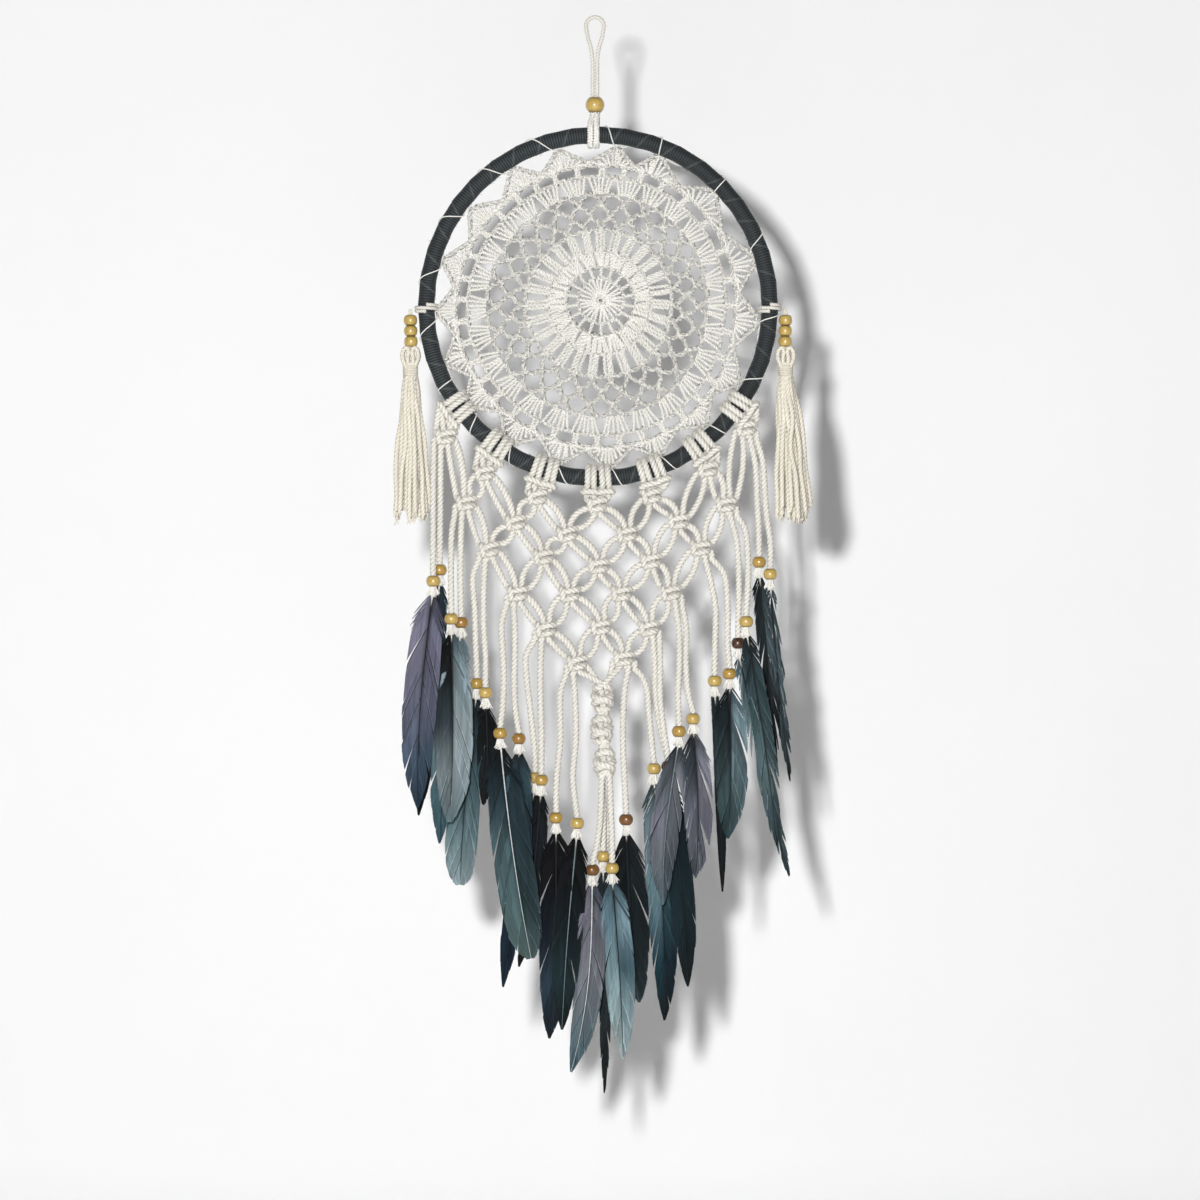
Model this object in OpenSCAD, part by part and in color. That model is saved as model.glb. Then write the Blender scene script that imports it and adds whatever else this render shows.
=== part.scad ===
// Macrame dream catcher: a ribbon-wrapped hoop with a crochet web, a knotted cotton net,
// and pairs of cotton strands that each end in a wooden bead and feathers.
// Millimetres. The origin is the top of the hanging loop. +Z is up and the front faces -Y.
// Places along X are measured from the hoop's centre, which hangs hoop_x beside the loop.

/* [Hoop] */
// Outer diameter of the wrapped hoop
hoop_d = 200; // [198:0.5:202]
// Width of the wrapped hoop's round section
band_w = 9.4; // [8.8:0.1:9.6]
// Thickness of the ribbon around the hoop's core
ribbon_t = 0.5; // [0.3:0.1:0.8]
// Height of the hoop's centre below the top of the loop
hoop_drop = 162; // [160:0.5:163]
// How far the hoop's centre hangs to the right of the loop
hoop_x = 1.7; // [0:0.1:3]

/* [Cords] */
// Diameter of the hanging cord
hang_d = 2.4; // [2:0.1:2.6]
// Diameter of the macrame cord
cord_d = 3.5; // [3:0.1:3.5]
// Diameter of the thread that laces the web to the hoop
lacing_d = 0.9; // [0.6:0.1:1]
// Thickness of the crochet web
web_t = 1.6; // [1.2:0.1:2.4]

/* [Beads] */
// Diameter of the beads on the strands
bead_d = 7.5; // [7:0.1:7.5]
// Height of the beads on the strands
bead_h = 6; // [5:0.1:6]
// Diameter of the bead under the hanging loop
top_bead_d = 10.6; // [9:0.1:11]
// Height of the bead under the hanging loop
top_bead_h = 8.3; // [7:0.1:8.5]
// Diameter of the tassel beads
tassel_bead_d = 7; // [6:0.1:7]
// Height of the tassel beads
tassel_bead_h = 5.8; // [5:0.1:5.8]

/* [Feathers] */
// Thickness of a feather
feather_t = 1.2; // [0.8:0.1:1.2]
// Diameter of a feather's quill
quill_d = 1.4; // [1:0.1:1.6]

/* [Tassels] */
// Length of a tassel's skirt below its wrap
skirt_l = 78; // [60:1:80]
// Radius of a tassel's skirt at its lower end
skirt_r = 9.5; // [7:0.5:10]

/* [Hidden] */
$fn = 24;
GAP = 0.1;
tube_r = band_w / 2;
ring_r = hoop_d / 2 - tube_r;

// Hanging loop and the bead under it
loop_r = 5;
top_bead_z = -50;
bead_mouth_r = 2.9;

// Crochet web: its rounds of holes as [radius, count, width along the round, height, turn in degrees]
web_x = 1.7;
web_z = -158.6;
web_r = 82.5;
web_tip_r = 3.4;
eye_r = 1.2;
// Directions of the web's pointed fans, in degrees clockwise from the top
TIPS = [6, 22, 46, 75, 98, 121, 140, 159, 177, 195, 213, 232, 248, 266, 284, 305, 326, 344];
// Outline from one fan to the next as [share of the way, share of the tip's height]
FAN = [[0.06, 1], [0.28, 0.4], [0.5, 0], [0.72, 0.4], [0.94, 1]];
// Places of the lacing on the hoop, in degrees from its lowest point
LACES = [-160.7, -141.8, -121.2, -100.6, -82.6, -64.5, -46.6, -30.8, -12, 6.3, 24.2, 44, 63, 85,
    112.2, 134.6, 158.6, 177];
ROUNDS = [
    [17, 18, 2.6, 5.4, 0],
    [25.5, 18, 1.2, 7, 10],
    [36.6, 27, 2.4, 9.6, 0],
    [46.4, 27, 6.6, 5.2, 6.67],
    [53.9, 27, 7.8, 5.4, 0],
    [61.3, 27, 9, 5.4, 6.67],
    [70, 54, 1.6, 7, 3.33],
    [78.6, 36, 6.4, 4.6, 5],
];

// Macrame: groups of hitches on the hoop, in degrees from its lowest point
GROUPS = [-54, -36, -18, 0, 18, 36, 54];
hitch_r = 1.5;
hitch_step = 2.05;
hitch_bar_l = 6.6;
hitch_bar_r = hoop_d / 2 + 3 * hitch_r + 0.3;

// Centres of the square knots as [x, z], row by row
KNOTS = [
    [[-84.7, -234.3], [-62.9, -254.4], [-33.8, -267.8], [-0.6, -272.1],
        [29.7, -267.2], [60.9, -252.3], [82.1, -229.6]],
    [[-73.2, -271], [-45.8, -282], [-17.2, -288.4], [16, -288.4], [44.6, -281.3], [70.8, -272]],
    [[-60.4, -297], [-30.3, -301], [0.2, -306], [29.3, -303.3], [56.9, -296.2]],
    [[-44.7, -321.4], [-15.7, -321.8], [12.9, -321.4], [40.4, -321]],
    [[-29.1, -341.4], [1.4, -340], [28.2, -340.7]],
    [[-11.7, -360], [14.1, -357.4]],
];
BERRIES = [[3.2, -379], [2.7, -397], [4.4, -415.6]];
knot_w = 12.4;
knot_h = 9;
knot_t = 6.4;
berry_d = 14;
berry_neck_r = 3;
link_bow = 1.8;

// Strands of each drop as [x, y, z] points from the knot down to the bead's centre, then
// its feathers as [strand, tip x, tip z, width, y]
DROPS = [
    ["left_drop_1",
        [[[-91.2, 0, -240], [-91.5, -1, -262], [-91.5, -2, -285], [-91.6, -2.5, -302],
            [-91.5, -2.5, -314.5]],
        [[-87.4, 0, -240], [-87.6, 1, -262], [-87.8, 2, -285], [-88, 2.5, -300], [-88, 2.5, -308.3]]],
        [[0, -101, -441, 13, -7], [1, -100, -446, 9, 7]]],
    ["left_drop_2",
        [[[-79.5, 0, -277], [-81.2, -1, -288], [-81.6, -2, -305], [-81.5, -2.5, -322],
            [-81.4, -2.5, -335.5]],
        [[-75.6, 0, -277], [-76.2, 1, -290], [-76.5, 2, -306], [-76.4, 2.8, -322],
            [-76.2, 3.2, -337.5]]],
        [[0, -81.5, -449, 12, -7], [1, -86, -461, 13, -8.6]]],
    ["left_drop_3",
        [[[-66.3, 0, -303], [-69.5, 1, -312], [-68.5, 2, -331], [-68, 3.5, -350], [-67.5, 5.4, -371.5]],
        [[-62.7, 0, -303], [-63.5, 0, -320], [-63.5, 0, -338], [-62.5, 0, -356], [-62.5, -0.5, -376.5]]],
        [[0, -76, -485, 17, 10.6], [1, -64, -440, 11, 5]]],
    ["left_drop_4",
        [[[-50.8, 0, -327.5], [-53.5, 0, -338], [-53, 0, -352], [-52.3, 0, -368], [-53, 0, -385],
            [-54.3, 0, -399]],
        [[-47, 0, -327.5], [-46.2, 0, -340], [-46.2, 0, -356], [-46.5, 0, -370], [-45.8, 0, -386],
            [-44, 0, -402]]],
        [[0, -42, -525, 19, -5], [1, -44, -505, 10, -6.8]]],
    ["left_drop_5",
        [[[-35.2, 0, -347], [-40, 1, -356], [-39.5, 2.5, -370], [-37.5, 4, -388], [-35.5, 6, -407],
            [-35, 6.9, -424]],
        [[-31.4, 0, -347], [-32, 0, -362], [-32, 0, -378], [-31.5, 0, -400], [-31.5, 0, -425]]],
        [[0, -53, -542, 9, 11.6], [1, -44, -530, 9, 5]]],
    ["left_drop_6",
        [[[-17.6, 0, -366], [-20.8, 0, -376], [-21, 0, -390], [-21, 0, -404], [-23, 0, -424],
            [-23.3, 0, -446]],
        [[-13.8, 0, -366], [-12.8, 0, -378], [-12.3, 0, -402], [-14, 0, -424], [-11.6, 0, -449]]],
        [[0, -27, -569, 14, -5], [1, -20, -564, 10, -6.8]]],
    ["centre_drop",
        [[[2.2, -1.9, -424], [1.4, -1.9, -444], [-0.5, -1, -460], [-3.2, 0, -475]],
        [[6.4, -1.9, -424], [7.2, -1.5, -444], [7.8, -0.5, -460], [7.8, 0, -474]],
        [[2.4, 1.9, -424], [3, 3, -440], [3, 5, -455], [2.8, 5.5, -467.8]],
        [[6.4, 1.9, -424], [6.5, 5, -440], [5, 10, -456], [4, 13, -471.5]]],
        [[0, -10, -588, 8, -5], [1, 14, -580, 13, -5], [2, 3.5, -601, 9, 10], [3, 2, -560, 10, 17.2]]],
    ["right_drop_6",
        [[[16.8, 0, -363.4], [14.8, 0, -375], [13.9, 0, -392], [14, 0, -410], [15, 0, -430],
            [15.6, 0, -447]],
        [[20.6, 0, -363.4], [24.5, 0, -367.5], [27.2, 0, -375], [28, 0, -384], [29.2, 0, -398],
            [30.5, 0, -411], [31, 0, -418.7]]],
        [[0, 21, -550, 14, 5], [1, 37, -560, 9, 6.8]]],
    ["right_drop_5",
        [[[34.1, 0, -346.5], [34.5, 0, -360], [34.5, 0, -378], [36.4, 0, -397], [39, 0, -417.4]],
        [[30.5, 0, -346.5], [31.5, 2, -360], [32, 4.5, -378], [35, 6.5, -398], [39.6, 7.8, -421]]],
        [[0, 50, -541, 9.5, 5], [1, 51, -520, 8, 12.2]]],
    ["right_drop_4",
        [[[42.9, 0, -327], [45, 0, -342], [45.2, 0, -358], [44.5, 0, -376], [45, 0, -398]],
        [[46.7, 0, -327], [49, 0, -341], [48.8, 0, -358], [49.8, 0, -375], [52.8, 0, -391]]],
        [[0, 36, -495, 14, -5], [1, 54, -480, 11, -6.8]]],
    ["right_drop_3",
        [[[59.5, 0, -302], [62.5, 0, -314], [65.3, 0, -330], [65, 0, -349], [64.8, 0, -370]],
        [[63.3, 0, -302], [68, 0, -307], [71, 0, -314], [72, 0, -330], [72, 0, -349],
            [73, 0, -366]]],
        [[0, 69, -488, 8, -5], [1, 72, -458, 9, -6.8]]],
    ["right_drop_2",
        [[[73.4, 0, -278], [77, 1, -292], [78.2, 2, -308], [78.3, 2.6, -324], [78, 3, -338],
            [78, 3.2, -349]],
        [[77.2, 0, -278], [81.5, -1, -285], [83, -2, -296], [83.3, -2.5, -311], [82.7, -2.5, -325],
            [82.2, -2.5, -337]]],
        [[0, 106, -479, 12, -7], [1, 99, -462, 12, -8.8]]],
    ["right_drop_1",
        [[[84.4, 0, -235.5], [87.5, 0, -250], [88.5, 0, -270], [89.3, 0, -288], [89.5, 0, -304]],
        [[88.2, 0, -235.5], [91.5, 0, -248], [92.5, 0, -262], [93.7, 0, -278], [95.8, 0, -293],
            [95.7, 0, -310.6]]],
        [[0, 99, -422, 11, 5], [1, 107, -427, 10, 6.8]]],
];
STRANDS = 1;
PLUMES = 2;
tuft_l = 9;

// Tassels: the pivot's height, the beads' heights, and the lean of the right skirt
tassel_x = 104.2;
tassel_z = -163;
tassel_tie_r = 0.8;
TASSEL_BEADS = [-169.6, -175.5, -181.4];
tassel_bore_r = 1.3;
head_z = -189.5;
head_r = 5;
wrap_z = -197.5;
wrap_r = 4.2;
wrap_h = 6.4;

// Feather outline: half width as a share of the whole width, at even steps down the vane
VANE = [0.06, 0.16, 0.3, 0.41, 0.48, 0.5, 0.48, 0.41, 0.29, 0.12];

function unit(v) = v / norm(v);
function last(list) = list[len(list) - 1];

// Direction of a route at point i
function heading(path, i) = unit(path[min(i + 1, len(path) - 1)] - path[max(i - 1, 0)]);

// Ring of n points around a route's point i, square to the route, for routes that never run along Y
function ring_at(path, i, r, n) =
    let (along = heading(path, i), side = unit(cross(along, [0, 1, 0])), up = cross(side, along))
    [for (k = [0:n - 1]) path[i] + r * (cos(360 * k / n) * side + sin(360 * k / n) * up)];

module cord_tube(path, d, n = 8) {
    rings = len(path);
    points = [for (i = [0:rings - 1]) each ring_at(path, i, d / 2, n)];
    ends = [[for (k = [0:n - 1]) k], [for (k = [n - 1:-1:0]) (rings - 1) * n + k]];
    sides = [for (i = [0:rings - 2], k = [0:n - 1])
        [i * n + k, (i + 1) * n + k, (i + 1) * n + (k + 1) % n, i * n + (k + 1) % n]];
    polyhedron(points, concat(ends, sides));
}

// Straight round bar between two points
module bar(a, b, r) {
    v = b - a;
    translate(a)
        rotate([0, acos(v[2] / norm(v)), atan2(v[1], v[0])])
            cylinder(r = r, h = norm(v));
}

// Barrel bead around the Z axis, with its bore
module barrel_bead(d, h, bore_r) {
    rotate_extrude()
        polygon([[bore_r, -h / 2], [d * 0.38, -h / 2], [d / 2, -h / 5], [d / 2, h / 5], [d * 0.38, h / 2],
            [bore_r, h / 2]]);
}

// Ring of cord around the hoop's section, at an angle from the hoop's lowest point
module hoop_ring(angle, clear, r) {
    translate([hoop_x, 0, -hoop_drop])
        rotate([0, -angle, 0])
            translate([0, 0, -ring_r])
                rotate([0, 90, 0])
                    rotate_extrude()
                        translate([tube_r + clear + r, 0])
                            circle(r = r);
}

module hanging_cord() {
    mouth = top_bead_z + top_bead_h / 2 - 2;
    side = hang_d / 2 + GAP;
    top = -hang_d / 2 - loop_r;
    left_leg = [[-side, 0, mouth], [-side, 0, -42], [-side, 0, -36], [-side, 0, -30], [-1.4, 0, -24],
        [-2.3, 0, -18], [-3.9, 0, -12.5]];
    bight = [for (a = [-105:21:105]) [loop_r * sin(a), 0, top + loop_r * cos(a)]];
    right_leg = [for (i = [len(left_leg) - 1:-1:0]) [-left_leg[i][0], 0, left_leg[i][2]]];
    color("ivory")
        cord_tube(concat(left_leg, bight, right_leg), hang_d);
}

module top_bead() {
    color("burlywood")
        translate([0, 0, top_bead_z])
            barrel_bead(top_bead_d, top_bead_h, bead_mouth_r);
}

// Two doubled loops over the hoop, and the two strands that carry them from under the bead
module top_hitch() {
    loop_d = 2.4;
    loop_step = 2.6;
    clear = 0.35;
    start = top_bead_z - top_bead_h / 2 - 0.3;
    crown = -hoop_drop + ring_r + tube_r + clear + loop_d / 2;
    color("ivory") {
        for (k = [-1.5, -0.5, 0.5, 1.5])
            translate([k * loop_step, 0, -hoop_drop + ring_r])
                rotate([0, 90, 0])
                    rotate_extrude()
                        translate([tube_r + clear + loop_d / 2, 0])
                            circle(d = loop_d);
        for (side = [-1, 1])
            bar([side * loop_step / 2, 0, crown], [side * loop_step / 2, 0, start], 1);
    }
}

module hoop_core() {
    color("tan")
        translate([hoop_x, 0, -hoop_drop])
            rotate([90, 0, 0])
                rotate_extrude($fn = 96)
                    translate([ring_r, 0])
                        circle(r = tube_r - ribbon_t - 0.05);
}

module ribbon_wrap() {
    color("darkslategray")
        translate([hoop_x, 0, -hoop_drop])
            rotate([90, 0, 0])
                rotate_extrude($fn = 96)
                    translate([ring_r, 0])
                        difference() {
                            circle(r = tube_r);
                            circle(r = tube_r - ribbon_t);
                        }
}

// Direction a share of the way from fan k to the next fan
function between_tips(k, share) =
    let (next = k + 1 < len(TIPS) ? TIPS[k + 1] : TIPS[0] + 360)
    TIPS[k] + (next - TIPS[k]) * share;

// Edge of the web: pointed fans around the last round
function fan_edge() = [for (k = [0:len(TIPS) - 1], step = FAN)
    let (a = between_tips(k, step[0]), r = web_r + web_tip_r * step[1])
    [r * sin(a), r * cos(a)]];

module web_hole(w, h) {
    polygon([[-w / 2, 0], [-w / 4, h / 2], [w / 4, h / 2], [w / 2, 0], [w / 4, -h / 2],
        [-w / 4, -h / 2]]);
}

module crochet_web() {
    color("ivory")
        translate([hoop_x + web_x, web_t / 2, web_z])
            rotate([90, 0, 0])
                linear_extrude(web_t)
                    difference() {
                        polygon(fan_edge());
                        circle(r = eye_r);
                        for (band = ROUNDS, k = [0:band[1] - 1])
                            rotate(k * 360 / band[1] + band[4])
                                translate([0, band[0]])
                                    web_hole(band[2], band[3]);
                    }
}

module web_lacing() {
    color("white")
        for (angle = LACES)
            hoop_ring(angle, 0.05, lacing_d / 2);
}

// Lark's head hitches on the hoop: loops around its section, the bars under them, and the
// strands down to the first row of knots
module macrame_hitches() {
    color("ivory")
        for (g = [0:len(GROUPS) - 1]) {
            for (k = [-1.5, -0.5, 0.5, 1.5])
                hoop_ring(GROUPS[g] + k * hitch_step, 0.15, hitch_r);
            for (k = [-1, 1])
                translate([hoop_x, 0, -hoop_drop])
                    rotate([0, -GROUPS[g] - k * hitch_step, 0])
                        translate([0, 0, -hitch_bar_r])
                            rotate([0, 90, 0])
                                cylinder(r = hitch_r, h = hitch_bar_l, center = true);
            for (k = [-1, 1])
                hitch_strand(g, k);
        }
}

module hitch_strand(g, side) {
    a = GROUPS[g] + side * hitch_step;
    from = [hoop_x + hitch_bar_r * sin(a), 0, -hoop_drop - hitch_bar_r * cos(a)];
    knot = KNOTS[0][g];
    bar(from, [hoop_x + knot[0] + side * 2.6, 0, knot[1]], hitch_r - 0.2);
}

// Square knot seen from the front: a cushion with cut corners
module square_knot(at) {
    w = knot_w / 2;
    h = knot_h / 2;
    cut = 2;
    translate([hoop_x + at[0], knot_t / 2, at[1]])
        rotate([90, 0, 0])
            linear_extrude(knot_t)
                polygon([[-w, cut - h], [cut - w, -h], [w - cut, -h], [w, cut - h], [w, h - cut],
                    [w - cut, h], [cut - w, h], [-w, h - cut]]);
}

// Bowed round strand from a to b in the XZ plane; a positive bow is to the left of the way down
module bowed_strand(a, b, bow, r) {
    chord = norm(b - a);
    s = abs(bow);
    big_r = (chord * chord / 4 + s * s) / (2 * s);
    half = asin(chord / 2 / big_r);
    turn = atan2(b[1] - a[1], b[0] - a[0]);
    translate([(a[0] + b[0]) / 2, 0, (a[1] + b[1]) / 2])
        rotate([90, -turn, 0])
            mirror([0, bow > 0 ? 1 : 0, 0])
                translate([0, s - big_r, 0])
                    rotate(90 - half)
                        rotate_extrude(angle = 2 * half, $fn = 48)
                            translate([big_r, 0])
                                circle(r = r, $fn = 20);
}

// The two strands that run from one knot to the next one down
module knot_link(a, b) {
    side = b[0] > a[0] ? 1 : -1;
    inner = 1.9;
    outer = 5.3;
    reach = knot_h / 2 - 1;
    shift = [hoop_x, 0];
    bowed_strand(shift + a + [side * outer, -reach], shift + b + [-side * inner, reach],
        -side * link_bow, cord_d / 2 - 0.1);
    bowed_strand(shift + a + [side * inner, -reach], shift + b + [-side * outer, reach],
        side * link_bow, cord_d / 2 - 0.1);
}

module net_row(k) {
    row = KNOTS[k];
    color(k % 2 == 0 ? "ivory" : "cornsilk") {
        for (at = row)
            square_knot(at);
        if (k < len(KNOTS) - 1)
            for (i = [0:len(KNOTS[k + 1]) - 1]) {
                knot_link(row[i], KNOTS[k + 1][i]);
                knot_link(row[i + 1], KNOTS[k + 1][i]);
            }
        else
            for (at = row)
                knot_link(at, BERRIES[0]);
    }
}

function berry_at(i) = [hoop_x + BERRIES[i][0], 0, BERRIES[i][1]];

module berry_sinnet() {
    color("ivory") {
        for (i = [0:len(BERRIES) - 1])
            translate(berry_at(i))
                sphere(d = berry_d, $fn = 32);
        for (i = [0:len(BERRIES) - 2])
            bar(berry_at(i), berry_at(i + 1), berry_neck_r);
    }
}

// Strands of a drop, each ending in the tuft below its bead
module drop_cords(drop) {
    color("ivory")
        translate([hoop_x, 0, 0])
            for (strand = drop[STRANDS]) {
                bead = last(strand);
                above = [for (i = [0:len(strand) - 2]) strand[i]];
                below = [bead + [0, 0, bead_h / 2 + 0.5], bead - [0, 0, tuft_l]];
                cord_tube(concat(above, below), cord_d);
            }
}

module drop_beads(drop) {
    color("burlywood")
        translate([hoop_x, 0, 0])
            for (strand = drop[STRANDS])
                translate(last(strand))
                    barrel_bead(bead_d, bead_h, cord_d / 2 + GAP);
}

// Feather hanging from a bead: its quill leans out to the feather's own plane
module feather(bead, tip, w, y) {
    steps = len(VANE);
    start = bead - [0, 0, tuft_l - 1];
    share = 0.1;
    root = [start[0] + (tip[0] - start[0]) * share, start[2] + (tip[1] - start[2]) * share];
    run = tip - root;
    across = [-run[1], run[0]] / norm(run);
    right = [for (i = [0:steps - 1]) root + run * i / steps + across * w * VANE[i]];
    left = [for (i = [steps - 1:-1:0]) root + run * i / steps - across * w * VANE[i]];
    bar(start, [root[0], y, root[1]] + [run[0], 0, run[1]] * 0.06, quill_d / 2);
    translate([0, y + feather_t / 2, 0])
        rotate([90, 0, 0])
            linear_extrude(feather_t)
                polygon(concat(right, [tip], left));
}

module drop_feathers(drop) {
    color("slategray")
        translate([hoop_x, 0, 0])
            for (plume = drop[PLUMES])
                feather(last(drop[STRANDS][plume[0]]), [plume[1], plume[2]], plume[3], plume[4]);
}

// Tie around the hoop at its side; side is -1 on the left and 1 on the right
module tassel_tie(side) {
    color("ivory")
        translate([hoop_x + side * ring_r, 0, tassel_z])
            for (k = [-1, 0, 1])
                translate([0, 0, k * (2 * tassel_tie_r + GAP)])
                    rotate_extrude()
                        translate([tube_r + tassel_tie_r + GAP, 0])
                            circle(r = tassel_tie_r);
}

module tassel_beads(side) {
    color("burlywood")
        for (z = TASSEL_BEADS)
            translate([hoop_x + side * tassel_x, 0, z])
                barrel_bead(tassel_bead_d, tassel_bead_h, tassel_bore_r);
}

// Cord through the beads, folded head, wrap, and skirt of hanging yarns
module tassel_skirt(side, lean) {
    color("cornsilk")
        translate([hoop_x + side * tassel_x, 0, 0]) {
            translate([0, 0, head_z])
                cylinder(r = tassel_bore_r - GAP, h = tassel_z - 3 - head_z);
            translate([0, 0, head_z])
                sphere(r = head_r, $fn = 32);
            translate([0, 0, wrap_z - wrap_h / 2])
                cylinder(r = wrap_r, h = head_z - wrap_z);
            translate([0, 0, wrap_z])
                rotate([0, lean, 0])
                    translate([0, 0, -skirt_l - wrap_h / 2])
                        cylinder(r1 = skirt_r, r2 = wrap_r - 0.4, h = skirt_l + wrap_h / 2);
        }
}

hanging_cord();
top_bead();
top_hitch();
hoop_core();
ribbon_wrap();
crochet_web();
web_lacing();
macrame_hitches();
for (k = [1:len(KNOTS)])
    net_row(k - 1);
berry_sinnet();
for (drop = DROPS) {
    drop_cords(drop);
    drop_beads(drop);
    drop_feathers(drop);
}
tassel_tie(-1);  // left_tassel_tie
tassel_beads(-1);  // left_tassel_beads
tassel_skirt(-1, 1);  // left_tassel_skirt
tassel_tie(1);  // right_tassel_tie
tassel_beads(1);  // right_tassel_beads
tassel_skirt(1, -7);  // right_tassel_skirt
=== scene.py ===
"""A cotton macrame dream catcher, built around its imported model: a ribbon-wrapped hoop with a
crochet web, a knotted net, and pairs of strands that end in wooden beads and feathers.

Shapes are worked out in millimetres in the model's own frame and turned into metres as each
mesh is made. X places in the lists are measured from the hoop's centre."""

import math

import bpy
import numpy as np
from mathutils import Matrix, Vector


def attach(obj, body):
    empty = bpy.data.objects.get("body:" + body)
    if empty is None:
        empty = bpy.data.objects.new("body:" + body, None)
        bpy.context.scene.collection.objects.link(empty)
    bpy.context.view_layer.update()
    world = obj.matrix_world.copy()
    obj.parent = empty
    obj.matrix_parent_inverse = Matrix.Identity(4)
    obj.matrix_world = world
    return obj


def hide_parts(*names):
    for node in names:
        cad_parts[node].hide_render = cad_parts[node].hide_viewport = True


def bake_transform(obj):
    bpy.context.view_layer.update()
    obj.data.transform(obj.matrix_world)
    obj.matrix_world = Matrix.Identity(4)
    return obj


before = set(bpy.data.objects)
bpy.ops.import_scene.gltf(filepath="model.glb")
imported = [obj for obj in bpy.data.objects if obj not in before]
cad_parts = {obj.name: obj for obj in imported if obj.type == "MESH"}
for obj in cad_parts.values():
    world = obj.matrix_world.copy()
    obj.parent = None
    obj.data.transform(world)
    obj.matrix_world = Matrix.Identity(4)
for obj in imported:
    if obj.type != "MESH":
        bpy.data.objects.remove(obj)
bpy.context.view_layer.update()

MM = 0.001
HOOP = np.array([1.7, 0.0, -162.0])  # the hoop's centre
RING_R, TUBE_R = 95.3, 4.7  # radii of the hoop and of its wrapped section
CORD_D, HANG_D = 3.9, 2.4  # macrame cord and hanging cord
BEAD_D, BEAD_H = 7.8, 6.1
TUFT_L = 9.0  # from a bead's centre down to its tuft's end
NET_END = 2.7  # a drop's cords start this far above its hinge


# ---------------------------------------------------------------- shapes


def unit(v):
    return v / np.maximum(np.linalg.norm(v, axis=-1, keepdims=True), 1e-12)


def lengths(path):
    """Distance along a path at each of its points."""
    return np.concatenate([[0], np.cumsum(np.linalg.norm(np.diff(path, axis=0), axis=1))])


def resample(path, step):
    s = lengths(path)
    at = np.linspace(0, s[-1], max(3, int(round(s[-1] / step)) + 1))
    return np.stack([np.interp(at, s, path[:, k]) for k in range(3)], axis=1)


def smooth(points, step):
    """Curve through the points in even steps."""
    p = np.asarray(points, float)
    e = np.vstack([2 * p[0] - p[1], p, 2 * p[-1] - p[-2]])
    t = np.linspace(0, 1, 12, endpoint=False)[:, None]
    parts = []
    for a, b, c, d in zip(e, e[1:], e[2:], e[3:], strict=False):
        parts.append(0.5 * (2 * b + (c - a) * t + (2 * a - 5 * b + 4 * c - d) * t**2
                            + (3 * b - a - 3 * c + d) * t**3))
    return resample(np.vstack([*parts, p[-1:]]), step)


def sides_of(path):
    """Two directions square to a path at each point, turning with it as little as they can."""
    along = unit(np.gradient(path, axis=0))
    side = np.cross(along[0], (0.0, 1.0, 0.0))
    if np.linalg.norm(side) < 0.2:
        side = np.cross(along[0], (1.0, 0.0, 0.0))
    out = np.empty_like(along)
    for i, t in enumerate(along):
        side = side - side.dot(t) * t
        side = side / math.sqrt(side.dot(side))
        out[i] = side
    return out, np.cross(along, out)


def section(sides, plies, spread):
    """Angles and radii of a cord's section; plies lie round the middle, spread apart."""
    angle = np.arange(sides) * 2 * np.pi / sides
    if plies < 2:
        return angle, np.ones(sides)
    part = 2 * np.pi / plies
    off = (angle + part / 2) % part - part / 2
    ply = 1 / (1 + spread)
    centre = spread * ply
    return angle, centre * np.cos(off) + np.sqrt(ply**2 - (centre * np.sin(off)) ** 2)


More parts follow.
